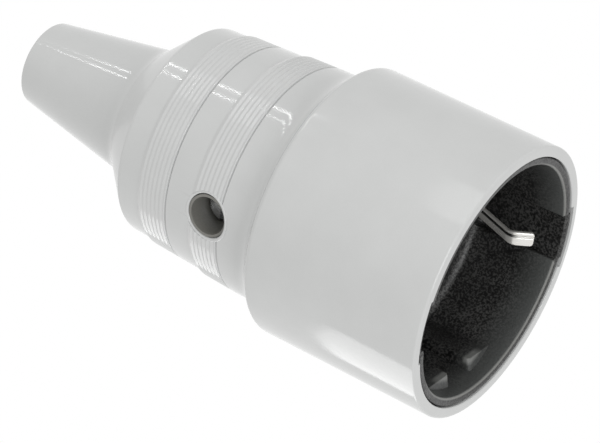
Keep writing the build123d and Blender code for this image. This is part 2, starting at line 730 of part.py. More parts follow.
with BuildPart() as cord_clamp_nut:
    with BuildSketch(side_hole_plane.offset(NUT_Y + NUT_T / 2 - DRUM_R)):
        Rectangle(NUT_W, NUT_W)
        Circle(thread_hole_r, mode=Mode.SUBTRACT)
    extrude(amount=-NUT_T)

cord_clamp_nut.part.label = "cord_clamp_nut"
export_step(cord_clamp_nut.part, "parts/cord_clamp_nut.step")

with BuildPart() as cord_clamp_jaw:
    with BuildSketch(side_hole_plane.offset(jaw_back - DRUM_R)):
        RectangleRounded(FRAME_W - 2 * JAW_GAP, JAW_LEN, JAW_T / 2)
    extrude(amount=-JAW_T)
    with BuildSketch(Plane.YZ):
        for row in (-0.5, 0.5):
            ridge_z = side_hole_z + row * GRIP_PITCH
            Polygon(
                (-JAW_Y, ridge_z - GRIP_HEIGHT),
                (GRIP_HEIGHT - JAW_Y, ridge_z),
                (-JAW_Y, ridge_z + GRIP_HEIGHT),
                align=None,
            )
    extrude(amount=FRAME_W / 2 - JAW_GAP, both=True)

cord_clamp_jaw.part.label = "cord_clamp_jaw"
export_step(cord_clamp_jaw.part, "parts/cord_clamp_jaw.step")
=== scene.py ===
"""Looks of a two-pole inline socket with side earth clips.

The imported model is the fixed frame. The sleeve, the socket front, the earth strip and the
cord clamp screw are built again here with their fine forms, and every other node keeps its
solid and gets its finish.

Sizes are in millimetres in the classes below and are turned into metres where a mesh is made.
Origin: middle of the mouth rim. +Z: from the mouth to the nozzle. X: line of the two pins.
Y: line of the two earth clips. The side hole faces -Y.
"""

import logging
from dataclasses import dataclass, field
from enum import Enum
from math import acos, atan2, ceil, cos, hypot, pi, radians, sin, sqrt, tan

import bmesh
import bpy
from mathutils import Matrix, Vector


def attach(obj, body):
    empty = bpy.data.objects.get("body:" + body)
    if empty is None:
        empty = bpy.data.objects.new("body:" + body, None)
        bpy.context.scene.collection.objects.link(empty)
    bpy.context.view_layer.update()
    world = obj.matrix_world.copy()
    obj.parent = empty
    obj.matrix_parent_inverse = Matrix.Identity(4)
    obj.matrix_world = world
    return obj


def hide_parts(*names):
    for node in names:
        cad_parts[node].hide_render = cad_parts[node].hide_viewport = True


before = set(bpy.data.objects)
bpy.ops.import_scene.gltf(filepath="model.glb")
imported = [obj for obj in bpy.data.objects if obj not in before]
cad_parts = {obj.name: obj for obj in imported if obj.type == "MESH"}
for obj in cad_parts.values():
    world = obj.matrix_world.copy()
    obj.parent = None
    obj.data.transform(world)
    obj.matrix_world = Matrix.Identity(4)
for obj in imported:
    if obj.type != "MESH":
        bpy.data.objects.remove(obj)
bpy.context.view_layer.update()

MM = 0.001

NO_LENGTH = 1e-6  # lengths below this count as none
STRAIGHT = radians(0.5)  # corners that turn less than this aren't rounded
LEG_SHARE = 0.98  # share of a leg that the arcs at its ends may use
MERGE_MM = 1e-5  # points that are closer become one, in a mesh in millimetres
MERGE_M = 2e-8  # the same in a finished mesh, in metres
OVERLAP = 1.0  # how far a cutter or a joined solid reaches past a face, in millimetres

# Sockets of the colour mix node, which has some for every kind of value.
MIX_SHARE, MIX_FIRST, MIX_SECOND, MIX_RESULT = 0, 6, 7, 2

log = logging.getLogger("inline_socket")

Point2 = tuple[float, float]
Point3 = tuple[float, float, float]
Colour = tuple[float, float, float]


class Slot(Enum):
    """Material slots of the record that the pieces take their finish from."""

    SLEEVE = "sleeve_plastic"
    INSERT = "insert_plastic"
    NICKEL = "nickel_strip"
    STEEL = "plated_steel"
    BRASS = "brass"


def linear(red: int, green: int, blue: int) -> Colour:
    """Turn a colour given as screen values into linear light.

    Args:
        red: Red from 0 to 255.
        green: Green from 0 to 255.
        blue: Blue from 0 to 255.

    Returns:
        The three linear values from 0 to 1.
    """
    values = []
    for level in (red, green, blue):
        share = level / 255
        values.append(share / 12.92 if share <= 0.04045 else ((share + 0.055) / 1.055) ** 2.4)
    return values[0], values[1], values[2]


def quarter_turn(steps: int) -> list[float]:
    """Angles from 0 to 90 degrees in equal steps, with both ends."""
    return [radians(90) * step / steps for step in range(steps + 1)]


def full_turn(steps: int) -> list[float]:
    """Angles of one full turn in equal steps, without its end."""
    return [2 * pi * step / steps for step in range(steps)]


def rounded_off(distance: float, radius: float) -> float:
    """How far a rounded edge falls back.

    Args:
        distance: Distance from the end of the piece.
        radius: Radius of the edge.

    Returns:
        The distance by which it falls back there.
    """
    if distance >= radius:
        return 0.0
    return radius - sqrt(radius**2 - (radius - distance) ** 2)


def stand(name: str, data: bpy.types.ID) -> bpy.types.Object:
    """Put an object with a mesh, a lamp or a camera into the scene.

    Args:
        name: Name of the object.
        data: What it holds.

    Returns:
        The object.
    """
    made = bpy.data.objects.new(name, data)
    bpy.context.scene.collection.objects.link(made)
    return made


@dataclass(frozen=True)
class Corner:
    """One corner of an outline and the radius that rounds it.

    Attributes:
        u: First coordinate, such as the radius.
        v: Second coordinate, such as the height.
        rounding: Radius of the arc that replaces the corner.
    """

    u: float
    v: float
    rounding: float = 0.0


@dataclass(frozen=True)
class Outline:
    """A line of corners that is turned into points, with each rounding as an arc.

    Attributes:
        corners: The corners in order.
        closed: Whether the last corner joins the first.
        arc_step: Largest turn of one step along an arc, in degrees.
    """

    corners: tuple[Corner, ...]
    closed: bool = True
    arc_step: float = 12.0

    def _leg(self, a: Corner, b: Corner) -> float:
        """Length from one corner to the next."""
        return hypot(b.u - a.u, b.v - a.v)

    def _arc(self, before: Corner, corner: Corner, after: Corner) -> list[Point2]:
        """Points that round one corner.

        Args:
            before: The corner before it.
            corner: The corner that is rounded.
            after: The corner after it.

        Returns:
            The arc's points, or the corner itself where nothing is rounded.
        """
        back = self._leg(corner, before)
        ahead = self._leg(corner, after)
        if corner.rounding <= 0 or min(back, ahead) < NO_LENGTH:
            return [(corner.u, corner.v)]
        to_before = ((before.u - corner.u) / back, (before.v - corner.v) / back)
        to_after = ((after.u - corner.u) / ahead, (after.v - corner.v) / ahead)
        dot = max(-1.0, min(1.0, to_before[0] * to_after[0] + to_before[1] * to_after[1]))
        turn = pi - acos(dot)
        if turn < STRAIGHT:
            return [(corner.u, corner.v)]
        room_back = back * self._share(corner, before)
        room_ahead = ahead * self._share(corner, after)
        reach = min(corner.rounding * tan(turn / 2), room_back, room_ahead)
        radius = reach / tan(turn / 2)
        start = (corner.u + to_before[0] * reach, corner.v + to_before[1] * reach)
        bisector = (to_before[0] + to_after[0], to_before[1] + to_after[1])
        length = hypot(*bisector)
        depth = hypot(reach, radius)
        centre = (corner.u + bisector[0] / length * depth, corner.v + bisector[1] / length * depth)
        cross = to_before[0] * to_after[1] - to_before[1] * to_after[0]
        sign = -1.0 if cross > 0 else 1.0
        first = atan2(start[1] - centre[1], start[0] - centre[0])
        steps = max(2, ceil(turn / radians(self.arc_step)))
        points = []
        for step in range(steps + 1):
            angle = first + sign * turn * step / steps
            points.append((centre[0] + radius * cos(angle), centre[1] + radius * sin(angle)))
        return points

    def _share(self, corner: Corner, other: Corner) -> float:
        """Share of the leg between two corners that the first one's arc may use.

        Args:
            corner: The corner that the arc rounds.
            other: The corner at the other end of the leg.

        Returns:
            The share, from 0 to 1.
        """
        if other.rounding <= 0:
            return LEG_SHARE
        return LEG_SHARE * corner.rounding / (corner.rounding + other.rounding)

    def points(self) -> list[Point2]:
        """Points of the whole outline, with the arcs in it.

        Returns:
            The points in order.
        """
        result: list[Point2] = []
        count = len(self.corners)
        for index, corner in enumerate(self.corners):
            if not self.closed and index in (0, count - 1):
                result.append((corner.u, corner.v))
                continue
            before = self.corners[index - 1]
            after = self.corners[(index + 1) % count]
            result.extend(self._arc(before, corner, after))
        return result


class Solid:
    """A closed mesh in the making, in millimetres, with the tools that shape it."""

    def __init__(self) -> None:
        """Start with an empty mesh."""
        self.mesh = bmesh.new()

    def ring(self, points: list[Point3]) -> list[bmesh.types.BMVert]:
        """Add a row of vertices.

        Args:
            points: Their places.

        Returns:
            The new vertices in the same order.
        """
        return [self.mesh.verts.new(point) for point in points]

    def bridge(self, lower: list[bmesh.types.BMVert], upper: list[bmesh.types.BMVert]) -> None:
        """Join two closed rows of the same length with a band of faces.

        Args:
            lower: First row.
            upper: Second row.
        """
        count = len(lower)
        for index in range(count):
            after = (index + 1) % count
            corners = [lower[index], lower[after], upper[after], upper[index]]
            distinct = list(dict.fromkeys(corners))
            if len(distinct) > 2:
                self.mesh.faces.new(distinct)

    def loft(self, rows: list[list[Point3]], closed: bool = False) -> "Solid":
        """Join rows of points to a solid.

        Args:
            rows: The rows, each a closed line with the same number of points.
            closed: Whether the last row joins the first, instead of two caps.

        Returns:
            This solid.
        """
        rings = [self.ring(row) for row in rows]
        for lower, upper in zip(rings, rings[1:]):
            self.bridge(lower, upper)
        if closed:
            self.bridge(rings[-1], rings[0])
        else:
            self.mesh.faces.new(list(reversed(rings[0])))
            self.mesh.faces.new(rings[-1])
        return self.tidy()

    def turn(self, outline: list[Point2], segments: int) -> "Solid":
        """Turn an outline of radius and height round the Z axis.

        Args:
            outline: Closed outline; points with no radius become the axis.
            segments: Number of steps round the axis.

        Returns:
            This solid.
        """
        rows: list[list[bmesh.types.BMVert]] = []
        for radius, height in outline:
            if abs(radius) < NO_LENGTH:
                rows.append([self.mesh.verts.new((0.0, 0.0, height))] * segments)
                continue
            rows.append(self.ring([(radius * cos(t), radius * sin(t), height) for t in full_turn(segments)]))
        for index, row in enumerate(rows):
            following = rows[(index + 1) % len(rows)]
            if row[0] is row[-1] and following[0] is following[-1]:
                continue
            self.bridge(row, following)
        return self.tidy()

    def tidy(self) -> "Solid":
        """Join doubled points and turn every face outwards.

        Returns:
            This solid.
        """
        bmesh.ops.remove_doubles(self.mesh, verts=self.mesh.verts, dist=MERGE_MM)
        bmesh.ops.recalc_face_normals(self.mesh, faces=self.mesh.faces)
        if self.mesh.calc_volume(signed=True) < 0:
            bmesh.ops.reverse_faces(self.mesh, faces=self.mesh.faces)
        return self

    def place(self, matrix: Matrix) -> "Solid":
        """Move the solid by a matrix in millimetres."""
        bmesh.ops.transform(self.mesh, matrix=matrix, verts=self.mesh.verts)
        return self

    def piece(self, name: str) -> bpy.types.Object:
        """Turn the solid into an object of the scene.

        Args:
            name: Name of the object and of its mesh.

        Returns:
            The object, in metres, with its origin at the frame's.
        """
        bmesh.ops.scale(self.mesh, vec=(MM, MM, MM), verts=self.mesh.verts)
        data = bpy.data.meshes.new(name)
        self.mesh.to_mesh(data)
        self.mesh.free()
        return stand(name, data)


class Joinery:
    """Cuts and joins pieces with exact Booleans."""

    @staticmethod
    def _combine(body: bpy.types.Object, tool: bpy.types.Object, operation: str) -> None:
        """Apply one Boolean and drop its tool.

        Args:
            body: The piece that changes.
            tool: The solid that cuts it or joins it.
            operation: DIFFERENCE, UNION or INTERSECT.
        """
        modifier = body.modifiers.new("shape", "BOOLEAN")
        modifier.operation = operation
        modifier.solver = "EXACT"
        modifier.object = tool
        graph = bpy.context.evaluated_depsgraph_get()
        data = bpy.data.meshes.new_from_object(body.evaluated_get(graph))
        body.modifiers.remove(modifier)
        old = body.data
        body.data = data
        data.name = body.name
        bpy.data.meshes.remove(old)
        bpy.data.objects.remove(tool)

    @classmethod
    def cut(cls, body: bpy.types.Object, *tools: bpy.types.Object) -> None:
        """Take tools away from a piece."""
        for tool in tools:
            cls._combine(body, tool, "DIFFERENCE")

    @classmethod
    def join(cls, body: bpy.types.Object, *tools: bpy.types.Object) -> None:
        """Add tools to a piece."""
        for tool in tools:
            cls._combine(body, tool, "UNION")

    @staticmethod
    def smooth(body: bpy.types.Object, sharp_angle: float) -> None:
        """Shade a piece smooth, with hard edges where faces meet steeply.

        Args:
            body: The piece.
            sharp_angle: Angle between faces from which an edge is hard, in degrees.
        """
        made = bmesh.new()
        made.from_mesh(body.data)
        bmesh.ops.remove_doubles(made, verts=made.verts, dist=MERGE_M)
        bmesh.ops.dissolve_degenerate(made, edges=made.edges, dist=MERGE_M)
        bmesh.ops.recalc_face_normals(made, faces=made.faces)
        made.to_mesh(body.data)
        made.free()
        body.data.shade_smooth()
        body.data.set_sharp_from_angle(angle=radians(sharp_angle))


class Board:
    """A material's nodes and the few steps that the finishes share."""

    def __init__(self, name: str) -> None:
        """Make a material with one Principled shader.

        Args:
            name: Name of the material.
        """
        self.material = bpy.data.materials.new(name)
        self.material.use_nodes = True
        self.nodes = self.material.node_tree.nodes
        self.links = self.material.node_tree.links
        self.shader = self.nodes["Principled BSDF"]
        self.place = self.nodes.new("ShaderNodeTexCoord").outputs["Object"]

    def set(self, **values: float) -> None:
        """Set plain values on the shader; underscores stand for spaces."""
        for name, value in values.items():
            self.shader.inputs[name.replace("_", " ")].default_value = value

    def stretch(self, scale: Point3) -> bpy.types.NodeSocket:
        """Coordinates of the piece, scaled along each axis.

        Args:
            scale: Features per metre along X, Y and Z.

        Returns:
            The scaled coordinates.
        """
        mapping = self.nodes.new("ShaderNodeMapping")
        mapping.inputs["Scale"].default_value = scale
        self.links.new(self.place, mapping.inputs["Vector"])
        return mapping.outputs["Vector"]

    def noise(
        self, size: float, detail: float, roughness: float, stretch: Point3 = (1.0, 1.0, 1.0)
    ) -> bpy.types.NodeSocket:
        """Cloudy pattern of a given grain.

        Args:
            size: Size of a grain in millimetres.
            detail: Number of finer layers.
            roughness: Strength of the finer layers.
            stretch: Factors on the frequency along each axis.

        Returns:
            The pattern from 0 to 1.
        """
        base = 1 / (size * MM)
        texture = self.nodes.new("ShaderNodeTexNoise")
        texture.inputs["Scale"].default_value = 1.0
        texture.inputs["Detail"].default_value = detail
        texture.inputs["Roughness"].default_value = roughness
        vector = self.stretch((base * stretch[0], base * stretch[1], base * stretch[2]))
        self.links.new(vector, texture.inputs["Vector"])
        return texture.outputs["Fac"]

    def cells(self, size: float) -> bpy.types.NodeSocket:
        """Distance pattern of small cells, for moulded grain.

        Args:
            size: Size of a cell in millimetres.

        Returns:
            The distance from each cell's middle.
        """
        texture = self.nodes.new("ShaderNodeTexVoronoi")
        texture.inputs["Scale"].default_value = 1.0
        base = 1 / (size * MM)
        self.links.new(self.stretch((base, base, base)), texture.inputs["Vector"])
        return texture.outputs["Distance"]

    def span(
        self, value: bpy.types.NodeSocket, start: float, end: float, low: float, high: float
    ) -> bpy.types.NodeSocket:
        """Map a value from one span to another.

        Args:
            value: The value.
            start: Value that becomes low.
            end: Value that becomes high.
            low: Result at the start.
            high: Result at the end.

        Returns:
            The mapped value, held inside the span.
        """
        node = self.nodes.new("ShaderNodeMapRange")
        for name, number in (("From Min", start), ("From Max", end), ("To Min", low), ("To Max", high)):
            node.inputs[name].default_value = number
        self.links.new(value, node.inputs["Value"])
        return node.outputs["Result"]

    def maths(
        self, operation: str, first: bpy.types.NodeSocket, second: bpy.types.NodeSocket | float
    ) -> bpy.types.NodeSocket:
        """One sum of two values.

        Args:
            operation: Name of the operation, such as ADD.
            first: First value.
            second: Second value, a socket or a number.

        Returns:
            The result.
        """
        node = self.nodes.new("ShaderNodeMath")
        node.operation = operation
        self.links.new(first, node.inputs[0])
        if isinstance(second, float):
            node.inputs[1].default_value = second
        else:
            self.links.new(second, node.inputs[1])
        return node.outputs[0]

    def blend(self, share: bpy.types.NodeSocket, first: Colour, second: Colour) -> bpy.types.NodeSocket:
        """Mix two colours.

        Args:
            share: Share of the second colour.
            first: Colour where the share is 0.
            second: Colour where the share is 1.

        Returns:
            The mixed colour.
        """
        node = self.nodes.new("ShaderNodeMix")
        node.data_type = "RGBA"
        node.inputs[MIX_FIRST].default_value = (*first, 1.0)
        node.inputs[MIX_SECOND].default_value = (*second, 1.0)
        self.links.new(share, node.inputs[MIX_SHARE])
        return node.outputs[MIX_RESULT]

    def cover(
        self, base: bpy.types.NodeSocket, colour: Colour, *shares: bpy.types.NodeSocket
    ) -> bpy.types.NodeSocket:
        """Lay a plain colour over a pattern, where two shares meet.

        Args:
            base: Colours of the pattern.
            colour: The plain colour.
            shares: The two shares, which are multiplied.

        Returns:
            The covered pattern.
        """
        node = self.nodes.new("ShaderNodeMix")
        node.data_type = "RGBA"
        self.links.new(self.maths("MULTIPLY", *shares), node.inputs[MIX_SHARE])
        self.links.new(base, node.inputs[MIX_FIRST])
        node.inputs[MIX_SECOND].default_value = (*colour, 1.0)
        return node.outputs[MIX_RESULT]

    def places(self) -> dict[str, bpy.types.NodeSocket]:
        """Coordinates of the piece: X, Y, Z and R, the distance from the Z axis.

        Returns:
            The four coordinates, in metres.
        """
        parts = self.nodes.new("ShaderNodeSeparateXYZ")
        self.links.new(self.place, parts.inputs[0])
        flat = self.nodes.new("ShaderNodeCombineXYZ")
        for axis in ("X", "Y"):
            self.links.new(parts.outputs[axis], flat.inputs[axis])
        radius = self.nodes.new("ShaderNodeVectorMath")
        radius.operation = "LENGTH"
        self.links.new(flat.outputs[0], radius.inputs[0])
        return {**{axis: parts.outputs[axis] for axis in "XYZ"}, "R": radius.outputs["Value"]}

    def relief(self, height: bpy.types.NodeSocket, depth: float) -> None:
        """Raise the surface by a pattern.

        Args:
            height: Pattern from 0 to 1.
            depth: Height of the pattern in millimetres.
        """
        bump = self.nodes.new("ShaderNodeBump")
        bump.inputs["Strength"].default_value = 1.0
        bump.inputs["Distance"].default_value = depth * MM
        self.links.new(height, bump.inputs["Height"])
        self.links.new(bump.outputs["Normal"], self.shader.inputs["Normal"])

    def paint(self, colour: bpy.types.NodeSocket) -> None:
        """Send a colour to the shader."""
        self.links.new(colour, self.shader.inputs["Base Color"])

    def dull(self, roughness: bpy.types.NodeSocket) -> None:
        """Send a roughness to the shader."""
        self.links.new(roughness, self.shader.inputs["Roughness"])


@dataclass(frozen=True)
class PaintedLightBand:
    """Painted light: a lighter band laid over the plastic's colour by height and radius, where light falls
    at the mouth and on lit edges.

    Attributes:
        colour: Colour of the band.
        start: Height up to which the band is full, in millimetres.
        end: Height where it has faded.
        inner_r: Radius inside which it is full.
        outer_r: Radius where it has faded.
    """

    colour: Colour
    start: float
    end: float
    inner_r: float
    outer_r: float

    def paint(self, board: Board, base: bpy.types.NodeSocket) -> bpy.types.NodeSocket:
        """Lay the band over a colour.

        Args:
            board: Board of the material.
            base: Colour of the plastic.

        Returns:
            The colour with the band.
        """
        # Painted light: the band is lighter near the mouth and fades by height and radius.
        places = board.places()
        low = board.span(places["Z"], self.start * MM, self.end * MM, 1.0, 0.0)
        near = board.span(places["R"], self.inner_r * MM, self.outer_r * MM, 1.0, 0.0)
        return board.cover(base, self.colour, low, near)


@dataclass(frozen=True)
class MouldedPlastic:
    """Moulded plastic with a fine spark-eroded grain and a faint unevenness of colour.

    Attributes:
        name: Name of the material.
        colour: Main colour.
        shade: Colour of the darker clouds.
        smoothest: Roughness where the surface is smoothest.
        dullest: Roughness where it is dullest.
        grain: Size of a grain in millimetres.
        grain_depth: Depth of the grain in millimetres.
        specks: Share of the fine grain that changes the colour.
        specular: Strength of the reflection, with 0.5 for common plastic.
        edges: Bands of painted light and painted highlight laid over the colour.
    """

    name: str
    colour: Colour
    shade: Colour
    smoothest: float
    dullest: float
    grain: float
    grain_depth: float
    specks: float
    specular: float = 0.5
    edges: tuple[PaintedLightBand, ...] = ()

    def material(self) -> bpy.types.Material:
        """Build the material.

        Returns:
            The material.
        """
        board = Board(self.name)
        clouds = board.noise(size=9.0, detail=3.0, roughness=0.55)
        fine = board.noise(size=self.grain, detail=3.0, roughness=0.6)
        cells = board.cells(self.grain * 1.3)
        cloudy = board.span(clouds, 0.3, 0.7, 0.0, 0.6)
        share = board.maths("ADD", cloudy, board.span(fine, 0.42, 0.58, 0.0, self.specks))
        tint = board.blend(share, self.colour, self.shade)
        # Painted light: lighter bands where light falls, laid over the grain's colours.
        for edge in self.edges:
            tint = edge.paint(board, tint)
        board.paint(tint)
        handling = board.noise(size=3.2, detail=4.0, roughness=0.65)
        board.dull(board.span(handling, 0.3, 0.7, self.smoothest, self.dullest))
        board.relief(board.maths("ADD", fine, cells), self.grain_depth)
        board.set(IOR=1.47, Specular_IOR_Level=self.specular)
        return board.material


@dataclass(frozen=True)
class PaintedCreaseShade:
    """Painted shade: a dark line along a crease that runs at one X, fading near a strip's tip.

    Attributes:
        colour: Colour of the painted shade.
        middle_x: Place of the line's middle, in millimetres.
        half_w: Distance from the middle to where the line has faded.
        full_z: Height from which the line is full.
        faint_z: Height below which it is faint.
        faint: Share that is left there.
        full_share: Share of the half width over which the line is full.
    """

    colour: Colour
    middle_x: float
    half_w: float
    full_z: float
    faint_z: float
    faint: float
    full_share: float = 0.6

    def paint(self, board: Board, base: bpy.types.NodeSocket) -> bpy.types.NodeSocket:
        """Lay the line over a colour.

        Args:
            board: Board of the material.
            base: Colour of the metal.

        Returns:
            The colour with the line.
        """
        # Painted shade: darkens the crease, fainter towards the tip.
        places = board.places()
        away = board.maths("ABSOLUTE", board.maths("SUBTRACT", places["X"], self.middle_x * MM), 0.0)
        line = board.span(away, self.half_w * self.full_share * MM, self.half_w * MM, 1.0, 0.0)
        depth = board.span(places["Z"], self.faint_z * MM, self.full_z * MM, self.faint, 1.0)
        return board.cover(base, self.colour, line, depth)


@dataclass(frozen=True)
class RolledMetal:
    """Plated or bare metal with rolling marks along one axis and faint stains.

    Attributes:
        name: Name of the material.
        colour: Colour of the clean metal.
        stain: Colour of the duller patches.
        smoothest: Roughness of the clean metal.
        dullest: Roughness of the duller patches.
        marks: Factors on the marks' frequency along each axis.
        mark_depth: Depth of the marks in millimetres.
        metallic: Share of the reflection that is a metal's; the rest is the haze of the plating.
        groove: Painted shade along a crease, if there is one.
    """

    name: str
    colour: Colour
    stain: Colour
    smoothest: float
    dullest: float
    marks: Point3
    mark_depth: float
    metallic: float = 1.0
    groove: PaintedCreaseShade | None = None

    def material(self) -> bpy.types.Material:
        """Build the material.

        Returns:
            The material.
        """
        board = Board(self.name)
        patches = board.noise(size=2.4, detail=4.0, roughness=0.6)
        lines = board.noise(size=0.12, detail=2.0, roughness=0.5, stretch=self.marks)
        share = board.span(patches, 0.35, 0.75, 0.0, 1.0)
        tint = board.blend(share, self.colour, self.stain)
        # The groove lays painted shade over the metal's colour.
        board.paint(self.groove.paint(board, tint) if self.groove else tint)
        worn = board.maths("ADD", *(board.maths("MULTIPLY", pattern, 0.5) for pattern in (lines, patches)))
        board.dull(board.span(worn, 0.3, 0.7, self.smoothest, self.dullest))
        board.relief(lines, self.mark_depth)
        board.set(Metallic=self.metallic)
        return board.material


class Finishes:
    """The finishes of the socket, one for each material slot of the record."""

    def __init__(self) -> None:
        """Build every finish once."""
        sleeve = MouldedPlastic(
            name="light_grey_satin_plastic",
            colour=linear(208, 209, 209),
            shade=linear(202, 203, 203),
            smoothest=0.09,
            dullest=0.12,
            grain=0.16,
            grain_depth=0.0005,
            specks=0.25,
        )
        insert = MouldedPlastic(
            name="dark_grained_plastic",
            colour=linear(80, 80, 79),
            shade=linear(12, 12, 12),
            smoothest=0.34,
            dullest=0.44,
            grain=0.36,
            grain_depth=0.03,
            specks=0.95,
            edges=(
                # Painted light: the recess lighter near the mouth, fading deeper in.
                PaintedLightBand(linear(84, 86, 85), start=0.8, end=7.0, inner_r=20.9, outer_r=21.2),
                # Painted highlight on the guides' sloped mouth faces.
                PaintedLightBand(linear(118, 119, 117), start=4.6, end=5.1, inner_r=19.3, outer_r=19.9),
                # Painted highlight along the rim's rounded inner edge.
                PaintedLightBand(linear(150, 150, 147), start=0.42, end=0.7, inner_r=21.05, outer_r=21.3),
            ),
        )
        carrier = MouldedPlastic(
            name="mid_grey_plastic",
            colour=linear(128, 127, 122),
            shade=linear(112, 111, 107),
            smoothest=0.3,
            dullest=0.4,
            grain=0.3,
            grain_depth=0.01,
            specks=0.4,
        )
        nickel = RolledMetal(
            name="bright_nickel_strip",
            colour=(0.86, 0.85, 0.82),
            stain=(0.78, 0.76, 0.72),
            smoothest=0.2,
            dullest=0.3,
            marks=(1.0, 0.08, 0.08),
            mark_depth=0.001,
            metallic=0.5,
            # Painted shade along the clip's crease, fainter towards the tip.
            groove=PaintedCreaseShade(
                linear(48, 48, 47), middle_x=0.45, half_w=0.33, full_z=6.6, faint_z=5.2, faint=0.3
            ),
        )
        steel = RolledMetal(
            name="zinc_plated_steel",
            colour=(0.66, 0.67, 0.68),
            stain=(0.52, 0.53, 0.55),
            smoothest=0.2,
            dullest=0.36,
            marks=(0.12, 1.0, 0.12),
            mark_depth=0.0015,
        )
        brass = RolledMetal(
            name="bare_brass",
            colour=(0.78, 0.58, 0.26),
            stain=(0.6, 0.42, 0.19),
            smoothest=0.18,
            dullest=0.38,
            marks=(1.0, 1.0, 0.1),
            mark_depth=0.0015,
        )
        self._carrier = carrier.material()
        self._made = {
            Slot.SLEEVE: sleeve.material(),
            Slot.INSERT: insert.material(),
            Slot.NICKEL: nickel.material(),
            Slot.STEEL: steel.material(),
            Slot.BRASS: brass.material(),
        }

    def dress(self, piece: bpy.types.Object, slot: Slot) -> None:
        """Give a new piece its finish.

        Args:
            piece: The piece.
            slot: Slot of the record.
        """
        piece.data.materials.clear()
        piece.data.materials.append(self._made[slot])

    def redress(self, node: bpy.types.Object, slot: Slot) -> None:
        """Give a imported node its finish; its plastic is the grey of the inner parts.

        Args:
            node: Object of the node.
            slot: Slot of the record.
        """
        for holder in node.material_slots:
            holder.material = self._carrier if slot is Slot.INSERT else self._made[slot]


@dataclass(frozen=True)
class Belt:
    """Sizes that the two ribbed belts of the neck share.

    Attributes:
        taper: Loss of radius for each millimetre of height.
        groove_w: Width of the fine groove.
        groove_depth: Depth of the fine groove.
        ribbed_len: Length of the ribbed band.
        ribs: Number of ribs.
        step_len: Length of the step behind the ribs.
        step_height: Drop of the step.
        crest_r: Rounding of a rib's crest.
        valley_r: Rounding of a valley and of the groove's edges.
        groove_r: Rounding of the groove's bottom.
        step_r: Rounding of the step.
    """

    taper: float = 0.045
    groove_w: float = 0.45
    groove_depth: float = 0.4
    ribbed_len: float = 5.3
    ribs: int = 6
    step_len: float = 0.75
    step_height: float = 0.42
    crest_r: float = 0.22
    valley_r: float = 0.12
    groove_r: float = 0.05
    step_r: float = 0.16

    def corners(self, radius: float, start: float, plain_len: float, rib_depth: float) -> list[Corner]:
        """Corners of a plain band, its groove, the ribs and the step down.

        Args:
            radius: Radius where the belt starts.
            start: Height where the belt starts.
            plain_len: Length of the plain band.
            rib_depth: Depth of the valleys between the ribs.

        Returns:
            The corners; the last one is where the next band starts.
        """

        def surface(height: float) -> float:
            """Radius of the tapered neck at a height."""
            return radius - self.taper * (height - start)

        groove = start + plain_len
        middle = groove + self.groove_w / 2
        ribs = groove + self.groove_w
        pitch = self.ribbed_len / self.ribs
        made = [
            Corner(surface(groove), groove, self.valley_r),
            Corner(surface(middle) - self.groove_depth, middle, self.groove_r),
            Corner(surface(ribs), ribs, self.valley_r),
        ]
        for rib in range(self.ribs):
            valley = ribs + (rib + 0.5) * pitch
            crest = ribs + (rib + 1) * pitch
            made.append(Corner(surface(valley) - rib_depth, valley, self.valley_r))
            made.append(Corner(surface(crest), crest, self.crest_r))
        end = ribs + self.ribbed_len + self.step_len
        made.append(Corner(surface(end) - self.step_height, end, self.step_r))
        return made


@dataclass(frozen=True)
class KeyBlock:
    """Block with a round outer face, for the keys of the insert and the keyways of the sleeve.

    Attributes:
        outer_r: Radius of the outer face.
        inner_y: Distance of the flat inner face from the middle.
        width: Width of the block.
        side: 1 for the block at +Y and -1 for the one at -Y.
        face_steps: Steps across the outer face.
        edge_steps: Steps round a rounded edge.
    """

    outer_r: float
    inner_y: float
    width: float
    side: int
    face_steps: int = 24
    edge_steps: int = 4

    def _row(self, height: float, inset: float) -> list[Point3]:
        """One row of the block.

        Args:
            height: Height of the row.
            inset: How far the row is drawn in from the outer faces.

        Returns:
            The points.
        """
        half = self.width / 2 - inset
        radius = self.outer_r - inset
        row = [(half, self.side * self.inner_y, height)]
        for step in range(self.face_steps + 1):
            x = half - 2 * half * step / self.face_steps
            row.append((x, self.side * sqrt(radius**2 - x**2), height))
        row.append((-half, self.side * self.inner_y, height))
        return row

    def solid(self, start: float, end: float, rounding: float) -> Solid:
        """The block between two heights.

        Args:
            start: Height of the mouth end.
            end: Height of the other end.
            rounding: Rounding of the edges at the mouth end.

        Returns:
            The block.
        """
        rows = []
        if rounding > 0:
            for turn in quarter_turn(self.edge_steps):
                rows.append(self._row(start + rounding * (1 - cos(turn)), rounding * (1 - sin(turn))))
        else:
            rows.append(self._row(start, 0.0))
        rows.append(self._row(end, 0.0))
        return Solid().loft(rows)


